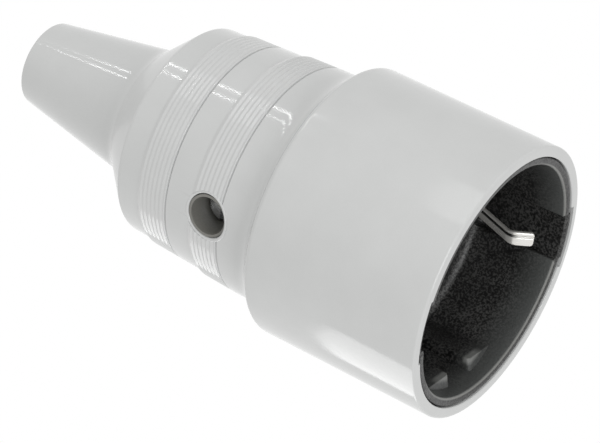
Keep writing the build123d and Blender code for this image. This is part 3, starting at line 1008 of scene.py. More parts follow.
@dataclass
class Sleeve:
    """Elastic sleeve: drum, scooped neck with two ribbed belts, shoulder and cord nozzle.

    Attributes:
        length: Overall length.
        drum_r: Radius of the drum.
        drum_len: Length of the drum.
        drum_edge_r: Rounding of the drum's rear edge.
        neck_r: Radius where the neck starts.
        neck_start: Height where the neck starts.
        scoop_r: Rounding of the scoop between drum and neck.
        scoop_rise: Height of the scoop's corner below the neck's start.
        front_band: Length of the first plain band.
        middle_band: Length of the second plain band.
        rear_band: Length of the last plain band.
        front_rib_depth: Depth of the front ribs.
        rear_rib_depth: Depth of the rear ribs.
        shoulder_angle: Slope of the shoulder, in degrees.
        shoulder_edge_r: Rounding where the shoulder starts.
        nozzle_angle: Slope of the nozzle, in degrees.
        nozzle_tip_r: Radius of the nozzle's tip.
        nozzle_root_r: Rounding where the nozzle starts.
        nozzle_edge_r: Rounding of the nozzle's tip.
        mouth_bore_r: Inner radius at the mouth.
        mouth_edge_r: Rounding of the mouth's outer edge.
        seat_z: Height of the seat of the insert.
        neck_bore_r: Inner radius in the neck.
        shoulder_wall: Wall of the shoulder along the axis.
        nozzle_bore_root_r: Inner radius where the nozzle starts.
        cord_bore_r: Radius of the hole for the cord.
        cord_bore_len: Length of the straight hole for the cord.
        hole_r: Radius of the side hole.
        hole_offset: Height of the side hole over the neck's start.
        ring_w: Width of the smooth ring round the side hole.
        ring_lip: How far the ring stands proud.
        ring_edge_r: Rounding of the ring's inner edge.
        ring_outer_r: Rounding of the ring's outer edge.
        ring_root: Depth of the ring's foot in the wall.
        ring_reach: How far the ring's wall passes the neck's bore.
        ring_overlap: How far the ring's foot reaches into the wall round it.
        ring_steps: Steps round the side hole.
        bore_fillet: Rounding of the corners inside the neck and the nozzle.
        keyway_r: Radius of the floor of the two keyways in the bore.
        keyway_w: Width of a keyway.
        keyway_len: Length of a keyway from the mouth.
        belt: Sizes of the ribbed belts.
        segments: Steps round the axis.
    """

    length: float = 95.3
    drum_r: float = 24.45
    drum_len: float = 33.7
    drum_edge_r: float = 1.15
    neck_r: float = 21.05
    neck_start: float = 39.353
    scoop_r: float = 5.2
    scoop_rise: float = 3.845
    front_band: float = 2.6
    middle_band: float = 4.9
    rear_band: float = 4.4
    front_rib_depth: float = 0.2
    rear_rib_depth: float = 0.14
    shoulder_angle: float = 44.2
    shoulder_edge_r: float = 0.9
    nozzle_angle: float = 9.8
    nozzle_tip_r: float = 7.6
    nozzle_root_r: float = 5.0
    nozzle_edge_r: float = 0.7
    mouth_bore_r: float = 22.5
    mouth_edge_r: float = 0.45
    seat_z: float = 31.0
    neck_bore_r: float = 17.2
    shoulder_wall: float = 2.3
    nozzle_bore_root_r: float = 8.6
    cord_bore_r: float = 4.8
    cord_bore_len: float = 12.0
    hole_r: float = 3.9
    hole_offset: float = 5.45
    ring_w: float = 0.6
    ring_lip: float = 0.06
    ring_edge_r: float = 0.42
    ring_outer_r: float = 0.14
    ring_root: float = 0.5
    ring_reach: float = 0.6
    ring_overlap: float = 0.05
    ring_steps: int = 128
    bore_fillet: float = 1.0
    keyway_r: float = 23.1
    keyway_w: float = 11.9
    keyway_len: float = 14.0
    belt: Belt = field(default_factory=Belt)
    segments: int = 256

    def __post_init__(self) -> None:
        """Work out the belts and the stations that depend on them."""
        self.front_belt = self.belt.corners(
            self.neck_r, self.neck_start, self.front_band, self.front_rib_depth
        )
        middle = self.front_belt[-1]
        self.rear_belt = self.belt.corners(middle.u, middle.v, self.middle_band, self.rear_rib_depth)
        rear = self.rear_belt[-1]
        self.shoulder_z = rear.v + self.rear_band
        self.shoulder_r = rear.u - self.belt.taper * self.rear_band
        self.hole_z = self.neck_start + self.hole_offset
        self.ring_front = (self.front_belt[0].u, self.front_belt[0].v)
        self.ring_slope = (self.front_belt[0].u - middle.u) / (middle.v - self.front_belt[0].v)

    def ring_surface(self, height: float) -> float:
        """Outer radius of the sleeve round the side hole at a height."""
        return self.ring_front[0] - self.ring_slope * (height - self.ring_front[1])

    def outline(self) -> list[Point2]:
        """Closed outline of the wall, up the outside and back down the bore.

        Returns:
            The points, as radius and height.
        """
        slope = tan(radians(self.shoulder_angle))
        nozzle_slope = tan(radians(self.nozzle_angle))
        shoulder_line = self.shoulder_r + slope * self.shoulder_z
        nozzle_line = self.nozzle_tip_r + nozzle_slope * self.length
        root_z = (shoulder_line - nozzle_line) / (slope - nozzle_slope)
        root_r = nozzle_line - nozzle_slope * root_z
        inner_z = self.shoulder_z - self.shoulder_wall
        inner_root_z = inner_z + (self.neck_bore_r - self.nozzle_bore_root_r) / slope
        corners = [
            Corner(self.mouth_bore_r, 0.0, self.mouth_edge_r / 2),
            Corner(self.drum_r, 0.0, self.mouth_edge_r),
            Corner(self.drum_r, self.drum_len, self.drum_edge_r),
            Corner(self.neck_r, self.neck_start - self.scoop_rise, self.scoop_r),
            *self.front_belt,
            *self.rear_belt,
            Corner(self.shoulder_r, self.shoulder_z, self.shoulder_edge_r),
            Corner(root_r, root_z, self.nozzle_root_r),
            Corner(self.nozzle_tip_r, self.length, self.nozzle_edge_r),
            Corner(self.cord_bore_r, self.length, self.nozzle_edge_r),
            Corner(self.cord_bore_r, self.length - self.cord_bore_len, self.bore_fillet),
            Corner(self.nozzle_bore_root_r, inner_root_z, self.bore_fillet),
            Corner(self.neck_bore_r, inner_z, self.bore_fillet),
            Corner(self.neck_bore_r, self.seat_z),
            Corner(self.mouth_bore_r, self.seat_z),
        ]
        return Outline(tuple(corners)).points()

    def _ring_row(self, radius: float, lift: float, depth: float | None = None) -> list[Point3]:
        """One row of points round the side hole.

        Args:
            radius: Distance from the hole's axis.
            lift: Height over the sleeve's surface, below it if negative.
            depth: Fixed Y instead, for rows inside the wall.

        Returns:
            The points.
        """
        row = []
        for angle in full_turn(self.ring_steps):
            x = radius * cos(angle)
            z = self.hole_z + radius * sin(angle)
            surface = self.ring_surface(z) + lift
            y = -sqrt(surface**2 - x**2) if depth is None else depth
            row.append((x, y, z))
        return row

    def hole_ring(self) -> Solid:
        """Smooth ring that frames the side hole, with its wall down to the bore.

        Returns:
            The ring.
        """
        outer_r = self.hole_r + self.ring_w
        inside = -(self.neck_bore_r - self.ring_reach)
        rows = [self._ring_row(outer_r, 0.0, inside), self._ring_row(outer_r, -self.ring_root)]
        edge = self.ring_outer_r
        for angle in quarter_turn(4):
            lift = self.ring_lip - edge + edge * sin(angle)
            rows.append(self._ring_row(outer_r - edge + edge * cos(angle), lift))
        edge = self.ring_edge_r
        for angle in quarter_turn(8):
            lift = self.ring_lip - edge + edge * cos(angle)
            rows.append(self._ring_row(self.hole_r + edge - edge * sin(angle), lift))
        rows.append(self._ring_row(self.hole_r, 0.0, inside))
        return Solid().loft(rows, closed=True)

    def build(self, finishes: Finishes) -> bpy.types.Object:
        """Build the sleeve, cut its side hole and dress it.

        Args:
            finishes: The finishes of the socket.

        Returns:
            The sleeve.
        """
        sleeve = Solid().turn(self.outline(), self.segments).piece("sleeve")
        cut_r = self.hole_r + self.ring_w - self.ring_overlap
        rows = []
        for y in (-self.drum_r, -self.neck_bore_r / 2):
            turns = full_turn(self.ring_steps)
            rows.append([(cut_r * cos(turn), y, self.hole_z + cut_r * sin(turn)) for turn in turns])
        Joinery.cut(sleeve, Solid().loft(rows).piece("hole_cutter"))
        for side in (-1, 1):
            keyway = KeyBlock(self.keyway_r, self.mouth_bore_r - OVERLAP, self.keyway_w, side)
            Joinery.cut(sleeve, keyway.solid(-OVERLAP, self.keyway_len, 0.0).piece("keyway_cutter"))
        Joinery.join(sleeve, self.hole_ring().piece("hole_ring"))
        Joinery.smooth(sleeve, 38.0)
        finishes.dress(sleeve, Slot.SLEEVE)
        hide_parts("housing")
        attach(sleeve, "root")
        return sleeve


@dataclass
class EarthStrip:
    """Bent earth strip with a spring clip at each end.

    Attributes:
        thickness: Thickness of the strip.
        width: Width of the clips.
        base_w: Width of the strip behind the floor.
        root_y: Distance of a clip's root from the middle.
        bend: Place of the bend, as Y and Z.
        tip: Place of the tip, as Y and Z.
        bend_r: Inner line radius of the bends.
        floor_z: Height of the recess floor.
        floor_back: Height of the floor's rear face.
        rivet_y: Place of the rivet.
        rivet_r: Radius of the rivet's hole.
        edge_r: Rounding along the strip's edges.
        leg_w: Width of a clip's leg, which widens towards the tip.
        widening: Heights where the widening starts and ends.
        crease_x: Place of the lengthwise crease, towards +X from the middle.
        crease_w: Half width of the crease.
        crease_depth: Depth of the crease.
        end_r: Rounding of the tip's corners.
        tip_edge_r: Rounding of the tip's edges.
        crease_r: Rounding of the crease's edges.
        inner_y: Distance from the middle where a clip's line starts inside the base.
        root_r: Inner line radius of the bends at the floor.
        corner_points: Points for each corner of the section.
        leg_share: Share of a leg of the section that one rounding may use.
        least_r: Least rounding of the section's corners.
        hole_steps: Steps round the rivet's hole.
    """

    thickness: float = 0.8
    width: float = 2.6
    base_w: float = 6.4
    root_y: float = 18.2
    bend: Point2 = (14.3, 6.4)
    tip: Point2 = (16.9, 3.4)
    bend_r: float = 2.0
    floor_z: float = 16.5
    floor_back: float = 20.5
    rivet_y: float = 8.8
    rivet_r: float = 1.05
    edge_r: float = 0.3
    leg_w: float = 2.1
    widening: Point2 = (7.6, 5.8)
    crease_x: float = 0.45
    crease_w: float = 0.27
    crease_depth: float = 0.22
    end_r: float = 0.6
    tip_edge_r: float = 0.15
    crease_r: float = 0.08
    inner_y: float = 6.0
    root_r: float = 1.3
    corner_points: int = 6
    leg_share: float = 0.45
    least_r: float = 0.03
    hole_steps: int = 32

    def line(self) -> list[Point2]:
        """Middle line of one clip, from the strip's middle to the tip, as Y and Z.

        Returns:
            The points of the line.
        """
        middle = self.floor_back + self.thickness / 2
        corners = (
            Corner(self.inner_y, middle),
            Corner(self.root_y, middle, self.root_r),
            Corner(self.root_y, self.floor_z - self.thickness, self.root_r),
            Corner(*self.bend, self.bend_r),
            Corner(*self.tip),
        )
        points = Outline(corners, closed=False, arc_step=6.0).points()
        before, last = points[-2], points.pop()
        run, rise = last[0] - before[0], last[1] - before[1]
        for turn in quarter_turn(8):
            share = 1 - self.end_r * (1 - sin(turn)) / hypot(run, rise)
            points.append((before[0] + run * share, before[1] + rise * share))
        return points

    def half_width(self, height: float, left: float) -> float:
        """Half the width of a clip.

        Args:
            height: Height of the place.
            left: Distance from there to the tip.

        Returns:
            The half width.
        """
        start, end = self.widening
        share = min(1.0, max(0.0, (start - height) / (start - end)))
        share = share * share * (3 - 2 * share)
        return (self.leg_w + (self.width - self.leg_w) * share) / 2 - rounded_off(left, self.end_r)

    def section(self, half_w: float, inset: float) -> list[Point2]:
        """Section of a clip across its width and thickness, with the crease in its inner face.

        Args:
            half_w: Half the width.
            inset: How far the section is drawn in, for the rounded end.

        Returns:
            The points of the section.
        """
        half_w -= inset
        half_t = self.thickness / 2 - inset
        rounding = max(self.edge_r - inset, self.least_r)
        crease = min(self.crease_x, half_w * 0.5)
        depth = self.crease_depth * max(0.0, 1 - inset / self.tip_edge_r)
        return self._even(
            (
                Corner(-half_w, -half_t, rounding),
                Corner(crease - self.crease_w, -half_t, self.crease_r),
                Corner(crease, -half_t + depth, self.crease_r),
                Corner(crease + self.crease_w, -half_t, self.crease_r),
                Corner(half_w, -half_t, rounding),
                Corner(half_w, half_t, rounding),
                Corner(-half_w, half_t, rounding),
            )
        )

    def _even(self, corners: tuple[Corner, ...]) -> list[Point2]:
        """Points of a section, always the same number, however the corners meet.

        Args:
            corners: Corners of the section.

        Returns:
            The points, the same number for each corner.
        """
        made: list[Point2] = []
        for index, corner in enumerate(corners):
            others = (corners[index - 1], corners[(index + 1) % len(corners)])
            legs = [hypot(other.u - corner.u, other.v - corner.v) for other in others]
            reach = min(corner.rounding, *(leg * self.leg_share for leg in legs))
            start, end = (
                Corner(
                    corner.u + (other.u - corner.u) / leg * reach,
                    corner.v + (other.v - corner.v) / leg * reach,
                )
                for other, leg in zip(others, legs)
            )
            for step in range(self.corner_points):
                t = step / (self.corner_points - 1)
                a, b, c = (1 - t) ** 2, 2 * t * (1 - t), t**2
                u = a * start.u + b * corner.u + c * end.u
                made.append((u, a * start.v + b * corner.v + c * end.v))
        return made

    def clip(self, side: int) -> Solid:
        """One spring clip, swept along its line.

        Args:
            side: 1 for the clip at +Y and -1 for the one at -Y.

        Returns:
            The clip.
        """
        line = self.line()
        tip = line[-1]
        rows = []
        for index, (y, z) in enumerate(line):
            ahead = line[min(index + 1, len(line) - 1)]
            behind = line[max(index - 1, 0)]
            length = hypot(ahead[0] - behind[0], ahead[1] - behind[1])
            across = (-(ahead[1] - behind[1]) / length, (ahead[0] - behind[0]) / length)
            left = hypot(tip[0] - y, tip[1] - z)
            section = self.section(self.half_width(z, left), rounded_off(left, self.tip_edge_r))
            rows.append([(u, side * (y + across[0] * v), z + across[1] * v) for u, v in section])
        return Solid().loft(rows)

    def base(self) -> Solid:
        """Wide middle of the strip, with rounded corners.

        Returns:
            The middle of the strip.
        """
        half_w = self.base_w / 2
        half_l = self.root_y - self.width
        corners = tuple(
            Corner(u, v, self.width / 2)
            for u, v in ((-half_w, -half_l), (half_w, -half_l), (half_w, half_l), (-half_w, half_l))
        )
        plan = Outline(corners).points()
        rows = [[(u, v, z) for u, v in plan] for z in (self.floor_back, self.floor_back + self.thickness)]
        return Solid().loft(rows)

    def build(self, finishes: Finishes) -> bpy.types.Object:
        """Build the strip with both clips and dress it.

        Args:
            finishes: The finishes of the socket.

        Returns:
            The earth strip.
        """
        strip = self.base().piece("earth_strip")
        Joinery.join(strip, self.clip(1).piece("clip_plus"), self.clip(-1).piece("clip_minus"))
        turns = full_turn(self.hole_steps)
        rows = []
        for z in (self.floor_back - OVERLAP, self.floor_back + self.thickness + OVERLAP):
            rows.append([(self.rivet_r * cos(t), self.rivet_y + self.rivet_r * sin(t), z) for t in turns])
        Joinery.cut(strip, Solid().loft(rows).piece("rivet_hole"))
        Joinery.smooth(strip, 40.0)
        finishes.dress(strip, Slot.NICKEL)
        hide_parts("earth_strap")
        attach(strip, "root")
        return strip


@dataclass
class SocketFront:
    """Hard insert: rim, recess, guides, keys, clip slots and floor, with the skirt behind.

    Attributes:
        rim_z: Height of the rim, behind the sleeve's mouth.
        outer_r: Outer radius.
        recess_r: Radius of the recess at the rim.
        recess_draft: Loss of the recess radius down to the floor.
        floor_z: Height of the recess floor.
        floor_t: Thickness of the floor.
        floor_fillet: Rounding between wall and floor.
        skirt_t: Wall of the skirt.
        seat_z: Height of the skirt's end.
        edge_r: Rounding of the rim's inner edge.
        pin_x: Distance of a pin hole from the middle.
        pin_r: Radius of a pin hole.
        lead_in: Width of the pin holes' lead-in.
        guide_x: Distance of the guides' flat faces from the middle.
        guide_z: Height where those faces start.
        guide_lead: Drop of the guides' sloped mouth faces, down to the guides' roots.
        guide_gap: Width of the gap between two guides.
        guide_edge_r: Rounding of a mouth face beside the gap.
        guide_root_r: Radius of the guides' roots inside the wall.
        key_r: Radius of the keys' outer faces.
        key_w: Width of a key.
        key_end: Height where the keys end.
        slot_w: Width of a clip slot.
        slot_r: Radius of a clip slot's back face.
        passage_w: Width of a clip's passage through the floor.
        passage_in: Inner end of a passage.
        passage_out: Outer end of a passage.
        pilot: Place of a carrier screw's pilot hole, as X and Y.
        pilot_r: Radius of a pilot hole.
        pilot_depth: Depth of a pilot hole.
        rivet_y: Place of the rivet's pocket.
        rivet_r: Radius of the rivet's pocket.
        rivet_depth: Depth of the rivet's pocket.
        lip: Rounding of a slot's upright edges.
        corner_r: Rounding of the rim's outer edge and of a guide's edge beside the gap.
        lip_reach: Share of the lip by which a slot's edge reaches outwards.
        slot_corner: Bevel of a slot's back corners.
        passage_r: Rounding of a passage's corners.
        skirt_edge_r: Rounding of the skirt's end and of the keys.
        skirt_root_r: Rounding where the skirt starts.
        guide_face_r: Rounding along a guide's flat face.
        guide_tip: How far a guide ends before its face meets its root.
        guide_least: Least thickness of a guide.
        step_zs: Heights of the recess wall's rows between the rim and the floor.
        wall_steps: Steps along a quarter of the recess wall.
        slot_steps: Steps along half of a slot's back.
        guide_steps: Steps along a guide.
        segments: Steps round the axis.
    """

    rim_z: float = 0.3
    outer_r: float = 22.3
    recess_r: float = 20.9
    recess_draft: float = 0.7
    floor_z: float = 16.5
    floor_t: float = 4.0
    floor_fillet: float = 1.5
    skirt_t: float = 2.1
    seat_z: float = 31.0
    edge_r: float = 0.45
    pin_x: float = 9.5
    pin_r: float = 2.8
    lead_in: float = 0.8
    guide_x: float = 18.4
    guide_z: float = 3.8
    guide_lead: float = 1.05
    guide_gap: float = 6.2
    guide_edge_r: float = 0.8
    guide_root_r: float = 21.6
    key_r: float = 22.9
    key_w: float = 8.8
    key_end: float = 13.5
    slot_w: float = 8.7
    slot_r: float = 21.85
    passage_w: float = 3.2
    passage_in: float = 16.6
    passage_out: float = 18.9
    pilot: Point2 = (10.0, -10.0)
    pilot_r: float = 1.5
    pilot_depth: float = 2.8
    rivet_y: float = 8.8
    rivet_r: float = 2.0
    rivet_depth: float = 0.7
    lip: float = 0.25
    corner_r: float = 0.22
    lip_reach: float = 0.9
    slot_corner: float = 0.1
    passage_r: float = 0.35
    skirt_edge_r: float = 0.2
    skirt_root_r: float = 0.4
    guide_face_r: float = 0.18
    guide_tip: float = 0.05
    guide_least: float = 0.02
    step_zs: tuple[float, ...] = (2.0, 4.5, 7.5, 10.5, 13.5)
    wall_steps: int = 56
    slot_steps: int = 12
    guide_steps: int = 12
    segments: int = 256

    def wall_radius(self, height: float) -> float:
        """Radius of the recess wall at a height."""
        share = (height - self.rim_z) / (self.floor_z - self.rim_z)
        return self.recess_r - self.recess_draft * share

    def plan(self, height: float, offset: float) -> list[Point2]:
        """Closed line of the recess at a height.

        Args:
            height: Height of the line.
            offset: How far the line is drawn in from the walls, out if negative.

        Returns:
            Its points, always the same number.
        """
        wall = self.wall_radius(height) - offset
        slot = self.slot_r - offset
        slot_half = self.slot_w / 2 - offset
        last = acos(min(1.0, (slot_half + self.lip) / wall))
        turns = [last * step / self.wall_steps for step in range(self.wall_steps + 1)]
        quarter = [(wall * cos(turn), wall * sin(turn)) for turn in turns]
        side = sqrt(wall**2 - slot_half**2)
        for turn in quarter_turn(4)[1:]:
            rise = (side - wall * sin(last)) * (1 - cos(turn)) + self.lip * (1 - cos(turn)) * self.lip_reach
            quarter.append((slot_half + self.lip - self.lip * sin(turn), wall * sin(last) + rise))
        back = sqrt(slot**2 - slot_half**2)
        quarter.append((slot_half, back - self.slot_corner))
        final = atan2(back, slot_half - self.slot_corner)
        for step in range(self.slot_steps):
            turn = final + (pi / 2 - final) * step / self.slot_steps
            quarter.append((slot * cos(turn), slot * sin(turn)))
        points = list(quarter)
        points.append((0.0, slot))
        points.extend((-x, y) for x, y in reversed(quarter))
        points.extend((-x, -y) for x, y in quarter[1:])
        points.append((0.0, -slot))
        points.extend((x, -y) for x, y in reversed(quarter[1:]))
        return points

    def recess(self) -> Solid:
        """Solid that is taken out of the insert for the recess.

        Returns:
            The tool.
        """
        stations = [(self.rim_z - OVERLAP, -self.edge_r), (self.rim_z, -self.edge_r)]
        for turn in quarter_turn(6)[1:]:
            stations.append((self.rim_z + self.edge_r * sin(turn), -self.edge_r * (1 - sin(turn)) ** 1.6))
        stations.extend((height, 0.0) for height in self.step_zs)
        for turn in quarter_turn(8):
            height = self.floor_z - self.floor_fillet * (1 - sin(turn))
            stations.append((height, self.floor_fillet * (1 - cos(turn))))
        rows = []
        for height, offset in stations:
            rows.append([(x, y, height) for x, y in self.plan(height, offset)])
        return Solid().loft(rows)

    def guide(self, side_x: int, side_y: int) -> Solid:
        """One of the four guides, lofted from the gap to where its flat face meets the wall.

        Args:
            side_x: 1 for a guide at +X and -1 for one at -X.
            side_y: 1 for a guide at +Y of the gap and -1 for one at -Y.

        Returns:
            The guide.
        """
        start = self.guide_gap / 2
        end = sqrt(self.guide_root_r**2 - self.guide_x**2) - self.guide_tip
        slope = self.guide_lead / (self.guide_root_r - self.guide_x)
        stations = [start + self.guide_edge_r * (1 - cos(turn)) for turn in quarter_turn(10)]
        stations.extend(start + self.corner_r * (1 - cos(turn)) for turn in quarter_turn(4)[1:4])
        stations = sorted(set(stations))
        for step in range(2, self.guide_steps + 1):
            stations.append(start + (end - start) * step / self.guide_steps)
        rows = []
        for station in stations:
            back = rounded_off(station - start, self.guide_edge_r)
            face = self.guide_x + rounded_off(station - start, self.corner_r)
            root = max(sqrt(self.guide_root_r**2 - station**2), face + self.guide_least)
            foot = self.guide_z - slope * (root - face)
            corners = (
                Corner(root, foot + back),
                Corner(root, self.floor_z + OVERLAP),
                Corner(face, self.floor_z + OVERLAP),
                Corner(face, self.guide_z + back, min(self.guide_face_r, (root - face) / 2)),
            )
            section = Outline(corners, arc_step=16.0).points()
            rows.append([(side_x * u, side_y * station, v) for u, v in section])
        return Solid().loft(rows)

    def _drum(self, centre: Point2, stations: list[Point2], segments: int) -> Solid:
        """Round tool on an axis along Z.

        Args:
            centre: Place of the axis.
            stations: Radius and height of each row.
            segments: Steps round the axis.

        Returns:
            The tool.
        """
        turns = full_turn(segments)
        rows = []
        for radius, height in stations:
            rows.append([(centre[0] + radius * cos(t), centre[1] + radius * sin(t), height) for t in turns])
        return Solid().loft(rows)

    def _block(self, low: Point3, high: Point3, rounding: float) -> Solid:
        """Upright block with rounded corners.

        Args:
            low: Lowest corner.
            high: Highest corner.
            rounding: Rounding of the upright edges.

        Returns:
            The block.
        """
        sides = ((low[0], low[1]), (high[0], low[1]), (high[0], high[1]), (low[0], high[1]))
        plan = Outline(tuple(Corner(x, y, rounding) for x, y in sides)).points()
        return Solid().loft([[(x, y, z) for x, y in plan] for z in (low[2], high[2])])

    def tools(self) -> list[bpy.types.Object]:
        """Every solid that is taken out of the turned insert.

        Returns:
            The tools, as objects.
        """
        back = self.floor_z + self.floor_t
        past = back + OVERLAP
        mouth_r = self.pin_r + self.lead_in
        lift = 0.01
        pin = [(mouth_r, self.floor_z - OVERLAP), (mouth_r, self.floor_z - lift)]
        for turn in quarter_turn(4):
            rise = self.lead_in * (1 - cos(turn))
            pin.append((mouth_r - self.lead_in * sin(turn), self.floor_z + rise + lift))
        pin.append((self.pin_r, past))
        pilot = [(self.pilot_r, back - self.pilot_depth), (self.pilot_r, past)]
        pocket = [(self.rivet_r, back - self.rivet_depth), (self.rivet_r, past)]
        half_w = self.passage_w / 2
        made = [self.recess().piece("recess_tool")]
        for side in (-1, 1):
            made.append(self._drum((side * self.pin_x, 0.0), pin, 96).piece("pin_tool"))
            start, end = sorted((side * self.passage_in, side * self.passage_out))
            low = (-half_w, start, self.floor_z - self.floor_fillet)
            made.append(self._block(low, (half_w, end, past), self.passage_r).piece("passage_tool"))
            hole = (side * self.pilot[0], self.pilot[1])
            made.append(self._drum(hole, pilot, 32).piece("pilot_tool"))
        made.append(self._drum((0.0, self.rivet_y), pocket, 48).piece("rivet_tool"))
        return made

    def build(self, finishes: Finishes) -> bpy.types.Object:
        """Build the insert and dress it.

        Args:
            finishes: The finishes of the socket.

        Returns:
            The insert.
        """
        back = self.floor_z + self.floor_t
        skirt_r = self.outer_r - self.skirt_t
        corners = (
            Corner(0.0, self.rim_z),
            Corner(self.outer_r, self.rim_z, self.corner_r),
            Corner(self.outer_r, self.seat_z, self.skirt_edge_r),
            Corner(skirt_r, self.seat_z, self.skirt_edge_r),
            Corner(skirt_r, back, self.skirt_root_r),
            Corner(0.0, back),
        )
        insert = Solid().turn(Outline(corners).points(), self.segments).piece("socket_insert")
        for side in (-1, 1):
            key = KeyBlock(self.key_r, self.outer_r - OVERLAP, self.key_w, side)
            Joinery.join(insert, key.solid(self.rim_z, self.key_end, self.skirt_edge_r).piece("key"))
        Joinery.cut(insert, *self.tools())
        for side_x, side_y in ((-1, -1), (-1, 1), (1, -1), (1, 1)):
            Joinery.join(insert, self.guide(side_x, side_y).piece("guide"))
        Joinery.smooth(insert, 34.0)
        finishes.dress(insert, Slot.INSERT)
        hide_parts("socket_front")
        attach(insert, "root")
        return insert


@dataclass
class SlottedScrew:
    """Pan head screw with a slot, as seen in the cord clamp.

    Attributes:
        head_r: Radius of the head.
        head_t: Height of the head.
        edge_r: Rounding of the head's edge.
        slot_w: Width of the slot.
        slot_depth: Depth of the slot.
        shank_r: Outer radius of the thread.
        thread_depth: Depth of the thread.
        pitch: Height of one turn of the thread.
        shank_len: Length of the shank.
        neck_len: Plain part of the shank under the head.
        seat_y: Y of the face under the head.
        height: Z of the screw's axis.
        slot_flare: Widening of the slot on each side at the head's top.
        flare_depth: Depth of that widening.
        thread_r: Rounding of the thread's crests and roots.
        point_len: Length of the blunt point.
    """

    head_r: float = 3.0
    head_t: float = 2.0
    edge_r: float = 0.4
    slot_w: float = 0.8
    slot_depth: float = 0.9
    shank_r: float = 1.45
    thread_depth: float = 0.22
    pitch: float = 0.6
    shank_len: float = 7.02
    neck_len: float = 1.2
    seat_y: float = -13.62
    height: float = 44.803
    slot_flare: float = 0.14
    flare_depth: float = 0.12
    thread_r: float = 0.04
    point_len: float = 0.3

    def profile(self) -> list[Point2]:
        """Outline of the screw, with its head up.

        Returns:
            The points, as radius and height.
        """
        root_r = self.shank_r - self.thread_depth
        corners = [
            Corner(0.0, self.head_t),
            Corner(self.head_r, self.head_t, self.edge_r),
            Corner(self.head_r, 0.0, 0.1),
            Corner(root_r, 0.0),
            Corner(root_r, -self.neck_len),
        ]
        turns = int((self.shank_len - self.neck_len - 0.5) / self.pitch)
        for turn in range(turns):
            top = -self.neck_len - turn * self.pitch
            corners.append(Corner(self.shank_r, top - self.pitch / 2, self.thread_r))
            corners.append(Corner(root_r, top - self.pitch, self.thread_r))
        corners.append(Corner(root_r, -self.shank_len + self.point_len, 0.2))
        corners.append(Corner(0.0, -self.shank_len))
        return Outline(tuple(corners), arc_step=22.5).points()

    def build(self, finishes: Finishes, name: str, node: str) -> bpy.types.Object:
        """Build the screw, stand it in its bore and dress it.

        Args:
            finishes: The finishes of the socket.
            name: Name of the piece.
            node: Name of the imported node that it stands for.

        Returns:
            The screw.
        """
        screw = Solid().turn(self.profile(), 96)
        turned = Matrix.Translation((0.0, self.seat_y, self.height)) @ Matrix.Rotation(radians(90), 4, "X")
        made = screw.place(turned).piece(name)
        half_w = self.slot_w / 2
        flare = (half_w, self.head_t - self.flare_depth)
        top = (half_w + self.slot_flare, self.head_t + 0.5)
        half = [(half_w, self.head_t - self.slot_depth), flare, top]
        plan = half + [(-u, v) for u, v in reversed(half)]
        rows = [[(side * 2 * self.head_r, u, v) for u, v in plan] for side in (-1, 1)]
        Joinery.cut(made, Solid().loft(rows).place(turned).piece("slot_tool"))
        Joinery.smooth(made, 40.0)
        finishes.dress(made, Slot.STEEL)
        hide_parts(node)
        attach(made, "root")
        return made


@dataclass(frozen=True)
class Softbox:
    """One area lamp that faces the socket.

    Attributes:
        name: Name of the lamp.
        towards: Direction from the socket to the lamp.
        distance: Distance from the socket in metres.
        size: Width and height in metres.
        power: Power in watts.
        lean: Direction that the lamp's width runs along.
    """

    name: str
    towards: Point3
    distance: float
    size: Point2
    power: float
    lean: Point3 = (0.0, 0.0, 1.0)


